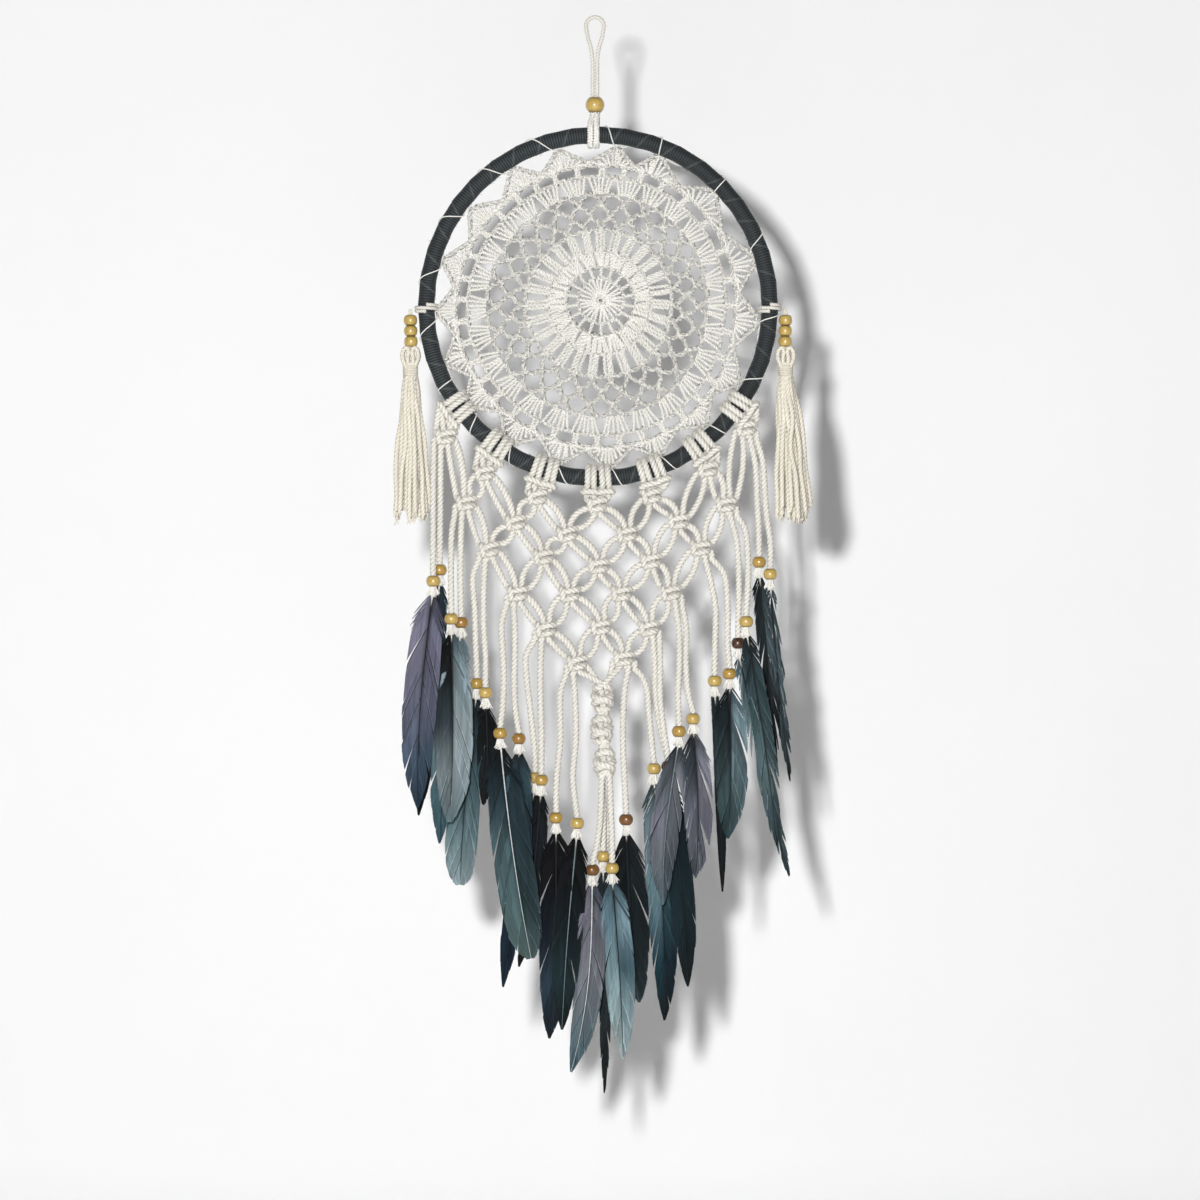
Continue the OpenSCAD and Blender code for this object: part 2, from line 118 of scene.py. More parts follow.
class Shape:
    """Closed tubes in millimetres, gathered into one mesh with a UV map, where U goes once
    round a tube and V is millimetres along it, a tone for each tube, a tint, and how much each
    point is a flank that faces neither the front nor the back."""

    def __init__(self):
        self.points, self.quads, self.tris = [], [], []
        self.quad_uv, self.tri_uv = [], []
        self.tones, self.tints, self.flanks = [], [], []
        self.count = 0

    def tubes(self, rings, along, tone=0.0, tint=None):
        """rings is (tubes, rings, sides, 3), along (tubes, rings), tone a number for each tube
        and tint (tubes, rings, 3)."""
        b, n, m, _ = rings.shape
        ids = self.count + np.arange(b * n * m).reshape(b, n, m)
        turned = np.roll(ids, -1, axis=2)
        quads = np.stack([ids[:, :-1], turned[:, :-1], turned[:, 1:], ids[:, 1:]], axis=-1)
        u = np.arange(m) / m
        v = np.broadcast_to(along[:, :, None], (b, n, m))
        low, high = v[:, :-1], v[:, 1:]
        u0 = np.broadcast_to(u, low.shape)
        uv = np.stack([u0, low, u0 + 1 / m, low, u0 + 1 / m, high, u0, high], axis=-1)
        caps = self.count + b * n * m + np.arange(2 * b).reshape(b, 2)
        first = np.stack([np.broadcast_to(caps[:, :1], (b, m)), turned[:, 0], ids[:, 0]], axis=-1)
        last = np.stack([np.broadcast_to(caps[:, 1:], (b, m)), ids[:, -1], turned[:, -1]], axis=-1)
        ends = np.stack([rings[:, 0].mean(axis=1), rings[:, -1].mean(axis=1)], axis=1)
        self.points += [rings.reshape(-1, 3), ends.reshape(-1, 3)]
        self.quads.append(quads.reshape(-1, 4))
        self.quad_uv.append(uv.reshape(-1, 2))
        for tri, edge in ((first, along[:, :1]), (last, along[:, -1:])):
            self.tris.append(tri.reshape(-1, 3))
            flat = np.zeros((b, m, 3, 2))
            flat[..., 1] = edge[:, :, None]
            self.tri_uv.append(flat.reshape(-1, 2))
        # How far each point faces sideways, which the yarn shaders darken as painted shade.
        facing = unit(rings - rings.mean(axis=2, keepdims=True))[..., 1]
        self.flanks += [1 - np.abs(facing).ravel(), np.zeros(2 * b)]
        tone = np.broadcast_to(np.asarray(tone, float).reshape(-1, 1), (b, 1))
        self.tones += [np.repeat(tone, n * m, axis=1).ravel(), np.repeat(tone, 2, axis=1).ravel()]
        if tint is not None:
            tint = np.broadcast_to(tint, (b, n, 3))
            self.tints += [np.repeat(tint, m, axis=1).reshape(-1, 3), tint[:, [0, -1]].reshape(-1, 3)]
        self.count += b * n * m + 2 * b

    def tube(self, path, radius, sides=8, plies=1, pitch=0.0, spread=1.0, tone=0.0, phase=0.0,
             tint=None):
        """One tube along a path. Its section turns once in each pitch."""
        a, b = sides_of(path)
        s = lengths(path)
        turn = phase + (2 * np.pi * s / pitch if pitch else np.zeros(len(s)))
        angle, share = section(sides, plies, spread)
        th = angle[None, :] + turn[:, None]
        r = np.broadcast_to(radius, (len(path),))[:, None] * share[None, :]
        rings = (path[:, None, :] + (r * np.cos(th))[..., None] * a[:, None, :]
                 + (r * np.sin(th))[..., None] * b[:, None, :])
        self.tubes(rings[None], s[None], tone, None if tint is None else tint[None])

    def mesh(self, name):
        mesh = bpy.data.meshes.new(name)
        quads, tris = np.vstack(self.quads), np.vstack(self.tris)
        mesh.vertices.add(self.count)
        mesh.vertices.foreach_set("co", (np.vstack(self.points) * MM).astype(np.float32).ravel())
        mesh.loops.add(quads.size + tris.size)
        corners = np.concatenate([quads.ravel(), tris.ravel()])
        mesh.loops.foreach_set("vertex_index", corners.astype(np.int32))
        starts = np.concatenate([np.arange(len(quads)) * 4, quads.size + np.arange(len(tris)) * 3])
        mesh.polygons.add(len(quads) + len(tris))
        mesh.polygons.foreach_set("loop_start", starts.astype(np.int32))
        mesh.update(calc_edges=True)
        uv = mesh.uv_layers.new(name="Round")
        uv.data.foreach_set("uv", np.vstack(self.quad_uv + self.tri_uv).astype(np.float32).ravel())
        for key, values in (("tone", self.tones), ("flank", self.flanks)):
            made = mesh.attributes.new(key, "FLOAT", "POINT")
            made.data.foreach_set("value", np.concatenate(values).astype(np.float32))
        if self.tints:
            tints = np.vstack(self.tints)
            tint = mesh.attributes.new("tint", "FLOAT_COLOR", "POINT")
            colours = np.column_stack([tints, np.ones(len(tints))])
            tint.data.foreach_set("color", colours.astype(np.float32).ravel())
        mesh.validate()
        mesh.shade_smooth()
        return mesh


def make_piece(shape, name, material, body=None, nodes=()):
    """The shape as an object that rides on a body, with these CAD nodes hidden in its place."""
    mesh = shape if isinstance(shape, bpy.types.Mesh) else shape.mesh(name)
    mesh.materials.append(material)
    piece = bpy.data.objects.new(name, mesh)
    bpy.context.scene.collection.objects.link(piece)
    if body:
        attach(piece, body)
    if nodes:
        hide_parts(*nodes)
    return piece


# ---------------------------------------------------------------- materials


def srgb(r, g, b):
    """A colour of 0 to 255 as the linear colour that shaders take."""
    return tuple(c / 12.92 if c <= 0.04045 else ((c + 0.055) / 1.055) ** 2.4
                 for c in (r / 255, g / 255, b / 255)) + (1.0,)


class Nodes:
    """Short ways to add shader nodes to one material."""

    def __init__(self, name):
        self.material = bpy.data.materials.new(name)
        self.material.use_nodes = True
        self.tree = self.material.node_tree
        self.shader = self.tree.nodes["Principled BSDF"]

    def add(self, kind, inputs=None, out=0, **settings):
        made = self.tree.nodes.new("ShaderNode" + kind)
        for key, value in settings.items():
            setattr(made, key, value)
        for key, value in (inputs or {}).items():
            self.put(made.inputs[key], value)
        return made.outputs[out]

    def put(self, socket, value):
        if isinstance(value, bpy.types.NodeSocket):
            self.tree.links.new(value, socket)
        else:
            socket.default_value = value

    def set(self, **inputs):
        for key, value in inputs.items():
            self.put(self.shader.inputs[key.replace("_", " ")], value)

    def mix(self, share, a, b, blend="MIX"):
        return self.add("Mix", {0: share, 6: a, 7: b}, out=2, data_type="RGBA", blend_type=blend)

    def math(self, kind, a, b=0.0, clamp=False):
        return self.add("Math", {0: a, 1: b}, operation=kind, use_clamp=clamp)

    def times(self, a, b, clamp=False):
        return self.math("MULTIPLY", a, b, clamp)

    def span(self, value, low, high, to_low, to_high):
        return self.add("MapRange", {0: value, 1: low, 2: high, 3: to_low, 4: to_high})

    def noise(self, vector, scale, detail=2.0, rough=0.5):
        inputs = {"Vector": vector, "Scale": scale, "Detail": detail, "Roughness": rough}
        return self.add("TexNoise", inputs)

    def round_map(self):
        """The tube's own coordinates: once round, and millimetres along."""
        uv = self.add("UVMap", uv_map="Round")
        parts = self.tree.nodes.new("ShaderNodeSeparateXYZ")
        self.tree.links.new(uv, parts.inputs[0])
        return parts.outputs[0], parts.outputs[1]

    def vector(self, x, y, z=0.0):
        return self.add("CombineXYZ", {0: x, 1: y, 2: z})

    def attribute(self, name, out=2):
        return self.add("Attribute", out=out, attribute_name=name)

    def bump(self, height, distance, strength):
        return self.add("Bump", {"Height": height, "Distance": distance, "Strength": strength})

    def place(self):
        return self.add("TexCoord", out=3)


def yarn_material(name, light, shade, plies, fibre=0.00018, flank=0.35):
    """Spun cotton: fibres along each ply, painted shade in the grooves between the plies and on the flanks
    that face neither front nor back, faint blotches.
    """
    n = Nodes(name)
    u, v = n.round_map()
    tone = n.attribute("tone")
    wave = n.math("COSINE", n.times(u, 2 * math.pi * plies))
    groove_shade = n.span(wave, 1.0, -1.0, 0.0, 1.0)
    slant = n.math("ADD", n.times(u, 9.0 * plies), n.times(v, 1.1))
    fibres = n.noise(n.vector(slant, n.times(v, 0.35), n.times(tone, 31.0)), 1.6, 3.0, 0.65)
    blotch = n.noise(n.place(), 55.0, 2.0)
    # Painted shade in the grooves between the plies, with random fibre tone mixed in.
    depth = n.math("ADD", n.times(n.math("POWER", groove_shade, 2.0), 0.42),
                   n.span(fibres, 0.4, 0.75, 0.0, 0.32), clamp=True)
    # Painted shade on the flanks, the sides that face neither the front nor the back.
    depth = n.math("ADD", depth, n.span(n.attribute("flank"), 0.25, 1.0, 0.0, flank), clamp=True)
    colour = n.mix(depth, light, shade)
    colour = n.mix(n.span(blotch, 0.45, 0.75, 0.0, 0.35), colour, n.mix(0.5, light, shade))
    n.set(Base_Color=colour, Roughness=n.span(fibres, 0.2, 0.8, 0.78, 0.95),
          Normal=n.bump(fibres, fibre, 0.9))
    n.set(Sheen_Weight=0.22, Sheen_Roughness=0.45, Specular_IOR_Level=0.22)
    return n.material


def ribbon_material():
    """Dark ribbed ribbon: fine ribs across the band whose crests carry a painted sheen in broad patches,
    frayed pale edges, and light wear.
    """
    n = Nodes("slate_ribbon")
    u, v = n.round_map()
    tone = n.attribute("tone")
    fray = n.noise(n.vector(n.times(u, 26.0), n.times(v, 1.3)), 2.4, 4.0, 0.7)
    ribs = n.math("SINE", n.times(n.math("ADD", v, n.times(fray, 0.5)), 2 * math.pi / 1.45))
    weave = n.noise(n.vector(n.times(u, 60.0), n.times(v, 0.9)), 3.0, 3.0, 0.6)
    base = n.mix(n.span(weave, 0.3, 0.7, 0.0, 1.0), srgb(13, 15, 16), srgb(33, 37, 39))
    # Painted sheen: broad patches where the rib crests are lightened towards a lit slate grey.
    sheen = n.noise(n.place(), 7.0, 2.0)
    ribbed = n.times(n.span(ribs, -0.4, 1.0, 0.0, 1.0), n.span(sheen, 0.35, 0.65, 0.1, 0.75))
    base = n.mix(ribbed, base, srgb(62, 70, 73))
    edge = n.times(tone, n.span(fray, 0.42, 0.62, 0.0, 1.0), clamp=True)
    base = n.mix(n.times(edge, 0.8), base, srgb(112, 118, 118))
    height = n.math("ADD", n.times(ribs, 0.6), n.times(weave, 0.9))
    n.set(Base_Color=base, Roughness=n.span(weave, 0.3, 0.7, 0.62, 0.85),
          Normal=n.bump(height, 0.00009, 0.8))
    n.set(Sheen_Weight=0.12, Sheen_Roughness=0.4, Specular_IOR_Level=0.35)
    return n.material


def bead_material():
    """Lacquered wood, tinted bead by bead and darker towards the holes."""
    n = Nodes("straw_bead")
    u, v = n.round_map()
    tone = n.attribute("tone")
    tint = n.attribute("tint", out=0)
    grain = n.noise(n.vector(n.times(u, 7.0), n.times(v, 0.16), n.times(tone, 17.0)), 3.5, 4.0, 0.6)
    lines = n.noise(n.vector(n.times(u, 42.0), n.times(v, 0.1), tone), 2.0, 2.0)
    colour = n.mix(n.span(grain, 0.4, 0.75, 0.0, 0.5), tint, n.mix(0.6, tint, srgb(92, 60, 24)))
    colour = n.mix(n.span(lines, 0.5, 0.8, 0.0, 0.35), colour, srgb(112, 82, 40))
    n.set(Base_Color=colour, Roughness=n.span(grain, 0.3, 0.7, 0.24, 0.42),
          Normal=n.bump(lines, 0.00006, 0.5))
    n.set(Coat_Weight=0.55, Coat_Roughness=0.12)
    return n.material


def feather_material():
    """Feather barbs: tinted from shaft to edge, with fine streaks and a soft sheen."""
    n = Nodes("slate_feather")
    u, v = n.round_map()
    tint = n.attribute("tint", out=0)
    tone = n.attribute("tone")
    streak = n.noise(n.vector(n.times(v, 0.5), n.times(tone, 60.0), u), 1.7, 3.0, 0.6)
    fine = n.noise(n.vector(n.times(v, 0.3), n.times(tone, 90.0), u), 4.0, 2.0)
    dull = n.mix(1.0, tint, (0.86, 0.86, 0.86, 1.0), "MULTIPLY")
    bright = n.mix(1.0, tint, (1.7, 1.7, 1.72, 1.0), "MULTIPLY")
    colour = n.mix(n.span(streak, 0.35, 0.72, 0.0, 0.75), dull, bright)
    colour = n.mix(n.span(fine, 0.55, 0.75, 0.0, 0.4), colour, n.mix(0.6, tint, srgb(8, 11, 14)))
    n.set(Base_Color=colour, Roughness=n.span(streak, 0.3, 0.7, 0.5, 0.72),
          Normal=n.bump(streak, 0.00005, 0.4))
    n.set(Sheen_Weight=0.03, Sheen_Roughness=0.35, Specular_IOR_Level=0.18)
    return n.material


def wood_material():
    """Bent cane of the hoop's core."""
    n = Nodes("hoop_rod")
    grain = n.noise(n.place(), 90.0, 5.0, 0.6)
    n.set(Base_Color=n.mix(grain, srgb(196, 160, 110), srgb(150, 110, 66)),
          Roughness=n.span(grain, 0.3, 0.7, 0.5, 0.7), Normal=n.bump(grain, 0.0001, 0.4))
    return n.material


def stage_material():
    """Pale studio backdrop, seen only from its front."""
    n = Nodes("backdrop")
    links = n.tree.links
    tooth = n.noise(n.place(), 9.0, 3.0)
    n.set(Base_Color=n.mix(tooth, (0.90, 0.90, 0.90, 1), (0.92, 0.92, 0.92, 1)), Roughness=0.95)
    clear = n.add("BsdfTransparent")
    back = n.add("NewGeometry", out=6)
    both = n.tree.nodes.new("ShaderNodeMixShader")
    for k, part in enumerate((back, n.shader.outputs[0], clear)):
        links.new(part, both.inputs[k])
    links.new(both.outputs[0], n.tree.nodes["Material Output"].inputs[0])
    return n.material


CREAM = yarn_material("cream_cord", srgb(231, 229, 222), srgb(164, 156, 140), 3)
WEB_YARN = yarn_material("web_yarn", srgb(246, 245, 240), srgb(170, 163, 148), 2, 0.00012, 0.3)
THREAD = yarn_material("lacing_thread", srgb(248, 247, 243), srgb(196, 191, 180), 2, 0.00008)
TASSEL_YARN = yarn_material("tassel_yarn", srgb(234, 230, 218), srgb(172, 158, 128), 3)
RIBBON = ribbon_material()
BEAD = bead_material()
FEATHER = feather_material()


# ---------------------------------------------------------------- camera and light

camera = bpy.data.cameras.new("camera")
camera.lens, camera.sensor_width = 135.0, 36.0
camera.clip_start, camera.clip_end = 0.05, 20.0
view = bpy.data.objects.new("camera", camera)
view.location = (0.0028, -2.5, -0.325)
view.rotation_euler = (math.pi / 2, 0, 0)
bpy.context.scene.collection.objects.link(view)
bpy.context.scene.camera = view


def area_light(name, place, size, power):
    """Round white light that points at the middle of the hanging."""
    lamp = bpy.data.lights.new(name, "AREA")
    lamp.shape, lamp.size, lamp.energy = "DISK", size, power
    held = bpy.data.objects.new(name, lamp)
    held.location = place
    held.rotation_euler = (Vector((0, 0, -0.3)) - Vector(place)).to_track_quat("-Z", "Y").to_euler()
    bpy.context.scene.collection.objects.link(held)


area_light("front", (-0.13, -2.2, -0.19), 0.07, 48)
area_light("key", (-1.25, -1.35, 0.75), 0.9, 2.2)
area_light("fill", (1.5, -1.6, -0.1), 1.0, 0.3)

world = bpy.data.worlds.new("studio")
world.use_nodes = True
world.node_tree.nodes["Background"].inputs[0].default_value = (1, 1, 1, 1)
world.node_tree.nodes["Background"].inputs[1].default_value = 0.06
bpy.context.scene.world = world
bpy.context.scene.view_settings.view_transform = "Standard"


def backdrop():
    """Pale floor that curves up into a pale wall behind."""
    wall_y, floor_z, bend, wide, top, near = 0.37, -0.80, 0.12, 2.2, 1.4, -2.4
    line = [(near, floor_z), (wall_y - bend, floor_z)]
    line += [(wall_y - bend + bend * math.sin(a), floor_z + bend - bend * math.cos(a))
             for a in np.radians(np.arange(6, 90, 6))]
    line += [(wall_y, floor_z + bend), (wall_y, top)]
    points = [(x, y, z) for y, z in line for x in (-wide, wide)]
    faces = [(2 * i, 2 * i + 1, 2 * i + 3, 2 * i + 2) for i in range(len(line) - 1)]
    mesh = bpy.data.meshes.new("backdrop")
    mesh.from_pydata(points, [], faces)
    mesh.materials.append(stage_material())
    mesh.shade_smooth()
    wall = bpy.data.objects.new("backdrop", mesh)
    bpy.context.scene.collection.objects.link(wall)


backdrop()


# ---------------------------------------------------------------- hanging cords with beads

# Each drop's strands, from where they leave the net and start to swing down to the bead's
# centre; then its feathers as [strand, tip x, tip z, y of its plane]
DROPS = {
    "left_drop_1": ([
        [[-91.2, 0, -240], [-91.5, -1, -262], [-91.5, -2, -285], [-91.6, -2.5, -302],
         [-91.5, -2.5, -314.5]],
        [[-87.4, 0, -240], [-87.6, 1, -262], [-87.8, 2, -285], [-88, 2.5, -300], [-88, 2.5, -308.3]]], [
        [0, -101, -441, -7], [1, -100, -446, 7]]),
    "left_drop_2": ([
        [[-79.5, 0, -277], [-81.2, -1, -288], [-81.6, -2, -305], [-81.5, -2.5, -322],
         [-81.4, -2.5, -335.5]],
        [[-75.6, 0, -277], [-76.2, 1, -290], [-76.5, 2, -306], [-76.4, 2.8, -322], [-76.2, 3.2, -337.5]]], [
        [0, -81.5, -449, -4.6], [1, -88, -461, -2.6]]),
    "left_drop_3": ([
        [[-66.3, 0, -303], [-69.5, 1, -312], [-68.5, 2, -331], [-68, 3.5, -350], [-67.5, 5.4, -371.5]],
        [[-62.7, 0, -303], [-63.5, 0, -320], [-63.5, 0, -338], [-62.5, 0, -356], [-62.5, -0.5, -376.5]]], [
        [0, -76, -485, 10.6], [1, -64, -440, 5]]),
    "left_drop_4": ([
        [[-50.8, 0, -327.5], [-53.5, 0, -338], [-53, 0, -352], [-52.3, 0, -368], [-53, 0, -385],
         [-54.3, 0, -399]],
        [[-47, 0, -327.5], [-46.2, 0, -340], [-46.2, 0, -356], [-46.5, 0, -370], [-45.8, 0, -386],
         [-44, 0, -402]]], [
        [0, -42, -525, -6.8], [1, -38, -484, -5]]),
    "left_drop_5": ([
        [[-35.2, 0, -347], [-40, 1, -356], [-39.5, 2.5, -370], [-37.5, 4, -388], [-35.5, 6, -407],
         [-35, 6.9, -424]],
        [[-31.4, 0, -347], [-32, 0, -362], [-32, 0, -378], [-31.5, 0, -400], [-31.5, 0, -425]]], [
        [0, -53, -542, 11.6], [1, -44, -530, 5]]),
    "left_drop_6": ([
        [[-17.6, 0, -366], [-20.8, 0, -376], [-21, 0, -390], [-21, 0, -404], [-23, 0, -424],
         [-23.3, 0, -446]],
        [[-13.8, 0, -366], [-12.8, 0, -378], [-12.3, 0, -402], [-14, 0, -424], [-11.6, 0, -449]]], [
        [0, -27, -569, -5], [1, -20, -564, -6.8]]),
    "centre_drop": ([
        [[2.2, -1.9, -424], [1.4, -1.9, -444], [-0.5, -1, -460], [-3.2, 0, -475]],
        [[6.4, -1.9, -424], [7.2, -1.5, -444], [7.8, -0.5, -460], [7.8, 0, -474]],
        [[2.4, 1.9, -424], [3, 3, -440], [3, 5, -455], [2.8, 5.5, -467.8]],
        [[6.4, 1.9, -424], [6.5, 5, -440], [5, 10, -456], [4, 13, -471.5]]], [
        [0, -10, -588, -5], [1, 14, -580, -5], [2, 3.5, -601, 10], [3, 2, -560, 17.2]]),
    "right_drop_6": ([
        [[16.8, 0, -363.4], [14.8, 0, -375], [13.9, 0, -392], [14, 0, -410], [15, 0, -430],
         [15.6, 0, -447]],
        [[20.6, 0, -363.4], [24.5, 0, -367.5], [27.2, 0, -375], [28, 0, -384], [29.2, 0, -398],
         [30.5, 0, -411], [31, 0, -418.7]]], [
        [0, 21, -550, 5], [1, 37, -560, 6.8]]),
    "right_drop_5": ([
        [[34.1, 0, -346.5], [34.5, 0, -360], [34.5, 0, -378], [36.4, 0, -397], [39, 0, -417.4]],
        [[30.5, 0, -346.5], [31.5, 2, -360], [32, 4.5, -378], [35, 6.5, -398], [39.6, 7.8, -421]]], [
        [0, 50, -541, 5], [1, 51, -520, 12.2]]),
    "right_drop_4": ([
        [[42.9, 0, -327], [45, 0, -342], [45.2, 0, -358], [44.5, 0, -376], [45, 0, -398]],
        [[46.7, 0, -327], [49, 0, -341], [48.8, 0, -358], [49.8, 0, -375], [52.8, 0, -391]]], [
        [0, 36, -495, -5], [1, 54, -480, -6.8]]),
    "right_drop_3": ([
        [[59.5, 0, -302], [62.5, 0, -314], [65.3, 0, -330], [65, 0, -349], [64.8, 0, -370]],
        [[63.3, 0, -302], [68, 0, -307], [71, 0, -314], [72, 0, -330], [72, 0, -349], [73, 0, -366]]], [
        [0, 69, -488, -5], [1, 72, -458, -6.8]]),
    "right_drop_2": ([
        [[73.4, 0, -278], [77, 1, -292], [78.2, 2, -308], [78.3, 2.6, -324], [78, 3, -338],
         [78, 3.2, -349]],
        [[77.2, 0, -278], [81.5, -1, -285], [83, -2, -296], [83.3, -2.5, -311], [82.7, -2.5, -325],
         [82.2, -2.5, -337]]], [
        [0, 106, -479, -7], [1, 99, -462, -8.8]]),
    "right_drop_1": ([
        [[84.4, 0, -235.5], [87.5, 0, -250], [88.5, 0, -270], [89.3, 0, -288], [89.5, 0, -304]],
        [[88.2, 0, -235.5], [91.5, 0, -248], [92.5, 0, -262], [93.7, 0, -278], [95.8, 0, -293],
         [95.7, 0, -310.6]]], [
        [0, 99, -422, 5], [1, 107, -427, 6.8]]),
}
SINNET_X = 4.4  # the last berry knot, which the centre drop hangs from
STRAW, GOLD, BROWN = srgb(192, 164, 90), srgb(176, 142, 66), srgb(152, 112, 48)
DARK, UMBER = srgb(62, 38, 22), srgb(116, 76, 36)
BEAD_TINTS = {
    "left_drop_1": (STRAW, GOLD), "left_drop_2": (STRAW, BROWN), "left_drop_3": (GOLD, STRAW),
    "left_drop_4": (GOLD, BROWN), "left_drop_5": (STRAW, GOLD), "left_drop_6": (GOLD, STRAW),
    "centre_drop": (UMBER, STRAW, STRAW, GOLD), "right_drop_6": (UMBER, STRAW),
    "right_drop_5": (DARK, GOLD), "right_drop_4": (GOLD, STRAW), "right_drop_3": (STRAW, GOLD),
    "right_drop_2": (DARK, STRAW), "right_drop_1": (GOLD, STRAW),
}


def rope(shape, points, d, pitch, tone, sides=18, step=0.9, spread=0.6):
    """Three-ply cord through the points, and the path it takes."""
    path = smooth(points, step)
    shape.tube(path, d / 2, sides, 3, pitch, spread, tone=tone, phase=6.3 * tone)
    return path


def hanging_cord():
    """Two strands up from the bead to one round bight, laid as in the model."""
    side, top, loop_r = HANG_D / 2 + 0.1, -HANG_D / 2 - 5.0, 5.0
    leg = [(-side, 0, -47.85), (-side, 0, -42), (-side, 0, -36), (-side, 0, -30), (-1.4, 0, -24),
           (-2.3, 0, -18), (-3.9, 0, -12.5)]
    bight = [(loop_r * math.sin(a), 0, top + loop_r * math.cos(a))
             for a in np.radians(np.arange(-105, 106, 21))]
    points = leg + bight + [(-x, y, z) for x, y, z in reversed(leg)]
    shape = Shape()
    path = rope(shape, points, HANG_D, 5.4, 0.3, 15, 0.6)
    piece = make_piece(shape, "hanging_loop_cord", CREAM, "hanger", ["hanging_cord"])


def barrel(shape, centre, d, h, bore, tint, tone, deep=1.3, square=1.0):
    """Turned wooden bead, darker towards its holes at top and bottom, a little uneven; a lower square is
    more upright.
    """
    rim = bore + 0.3
    last = math.acos((2 * rim / d) ** (1 / square))
    arc = np.linspace(-last, last, 19)
    out = d / 2 * np.cos(arc) ** square
    high = h / 2 * np.sin(arc) / math.sin(last)
    r = np.concatenate([[bore, bore], out, [bore, bore]])
    z = np.concatenate([[deep - h / 2, 0.3 - h / 2], high, [h / 2 - 0.3, h / 2 - deep]])
    a = np.arange(36) * 2 * np.pi / 36
    uneven = 1 + 0.012 * np.cos(2 * a + 9 * tone) + 0.01 * np.cos(3 * a + 20 * tone)
    rings = np.stack([np.outer(r, np.cos(a) * uneven), np.outer(r, np.sin(a) * uneven),
                      np.repeat(z[:, None], 36, axis=1)], axis=-1) + np.asarray(centre)
    # The colour darkens towards the bead's top and bottom, round its holes.
    end_darkening = np.clip((np.abs(z) / (h / 2) - 0.5) / 0.5, 0, 1)[:, None] ** 1.8
    tints = np.array(tint[:3]) * (1 - 0.7 * end_darkening)
    shape.tubes(rings[None], np.cumsum(np.hypot(np.gradient(r), np.gradient(z)))[None], tone, tints[None])


def frayed_end(shape, top, spread, length, rng):
    """Loose fibres of a cut cord, fanning out from its last twist."""
    t = np.linspace(0, 1, 6)
    for _ in range(46):
        a, out = rng.uniform(0, 2 * np.pi), math.sqrt(rng.uniform(0.02, 1))
        root = 0.75 * out * CORD_D / 2
        end = root + spread * out * rng.uniform(0.5, 1.1)
        r = root + (end - root) * t**1.25
        sway = rng.normal(0, 0.35, 2)
        drop = length * rng.uniform(0.72, 1.05)
        path = np.stack([top[0] + r * math.cos(a) + sway[0] * t**2,
                         top[1] + r * math.sin(a) + sway[1] * t**2, top[2] - drop * t], axis=1)
        shape.tube(path, 0.42 * (1 - 0.4 * t), 5, tone=rng.uniform(0, 1))


def drop_strand_points(name, strand):
    """The model's route, started inside the knot and ended below the bead."""
    first, bead = (np.array(strand[k], float) for k in (0, -1))
    inside = first + (0, 0, NET_END + 0.4)
    if name == "centre_drop":  # its strands come together in the last berry knot
        inside = np.array([SINNET_X + 0.35 * (first[0] - SINNET_X), first[1] / 2, first[2] + 4.5])
    ends = [bead + (0, 0, up) for up in (BEAD_H / 2 + 0.5, -TUFT_L / 2, -TUFT_L)]
    return np.array([inside, *strand[:-1], *ends], float) + (HOOP[0], 0, 0)


def drop_details(name, strands):
    """Beads and frayed tufts of one drop, and its cords."""
    beads, tufts = Shape(), Shape()
    rng = np.random.default_rng(sum(map(ord, name)))
    for k, strand in enumerate(strands):
        bead = np.array(strand[-1], float) + (HOOP[0], 0, 0)
        tone = float(rng.uniform(0, 1))
        barrel(beads, bead, BEAD_D, BEAD_H, CORD_D / 2 + 0.05, BEAD_TINTS[name][k], tone, square=0.85)
        frayed_end(tufts, bead - (0, 0, BEAD_H / 2 - 0.4), 2.4, TUFT_L - BEAD_H / 2 - 0.2, rng)
    beads = make_piece(beads, name + "_wooden_beads", BEAD, name, [name + "_beads"])
    tufts = make_piece(tufts, name + "_cotton_tufts", THREAD, name)
    for k, strand in enumerate(strands):
        shape = Shape()
        points = drop_strand_points(name, strand)
        path = rope(shape, points, CORD_D, 7.5, 0.13 + 0.17 * k + 0.03 * len(name), spread=0.65)
        piece = make_piece(shape, f"{name}_strand_{k + 1}", CREAM, None, [name + "_cords"])
        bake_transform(piece)


hanging_cord()
for drop_name, (drop_strands, _) in DROPS.items():
    drop_details(drop_name, drop_strands)


# ---------------------------------------------------------------- macrame net

KNOTS = [
    [(-84.7, -234.3), (-62.9, -254.4), (-33.8, -267.8), (-0.6, -272.1), (29.7, -267.2),
     (60.9, -252.3), (82.1, -229.6)],
    [(-73.2, -271), (-45.8, -282), (-17.2, -288.4), (16, -288.4), (44.6, -281.3), (70.8, -272)],
    [(-60.4, -297), (-30.3, -301), (0.2, -306), (29.3, -303.3), (56.9, -296.2)],
    [(-44.7, -321.4), (-15.7, -321.8), (12.9, -321.4), (40.4, -321)],
    [(-29.1, -341.4), (1.4, -340), (28.2, -340.7)],
    [(-11.7, -360), (14.1, -357.4)],
]
BERRIES = [(3.2, -379), (2.7, -397), (SINNET_X, -415.6)]
GROUPS = [-54, -36, -18, 0, 18, 36, 54]  # pairs of hitches, in degrees from the hoop's lowest point
HITCH_STEP = 2.4
STRAND_R, THICK_R, BERRY_R = 1.9, 2.2, 2.1  # of a strand in the net, an outer one, and in a berry knot
SLOT_X = (-6.4, -2.5, 2.5, 6.4)  # where a knot's four strands leave it
LINK_BOW = (-1.7, 2.0, -0.3, 1.5)  # how far each of them swells on its way to the next knot
SINNET = (12, 13, 14, 15)  # strands that end in the berry knots

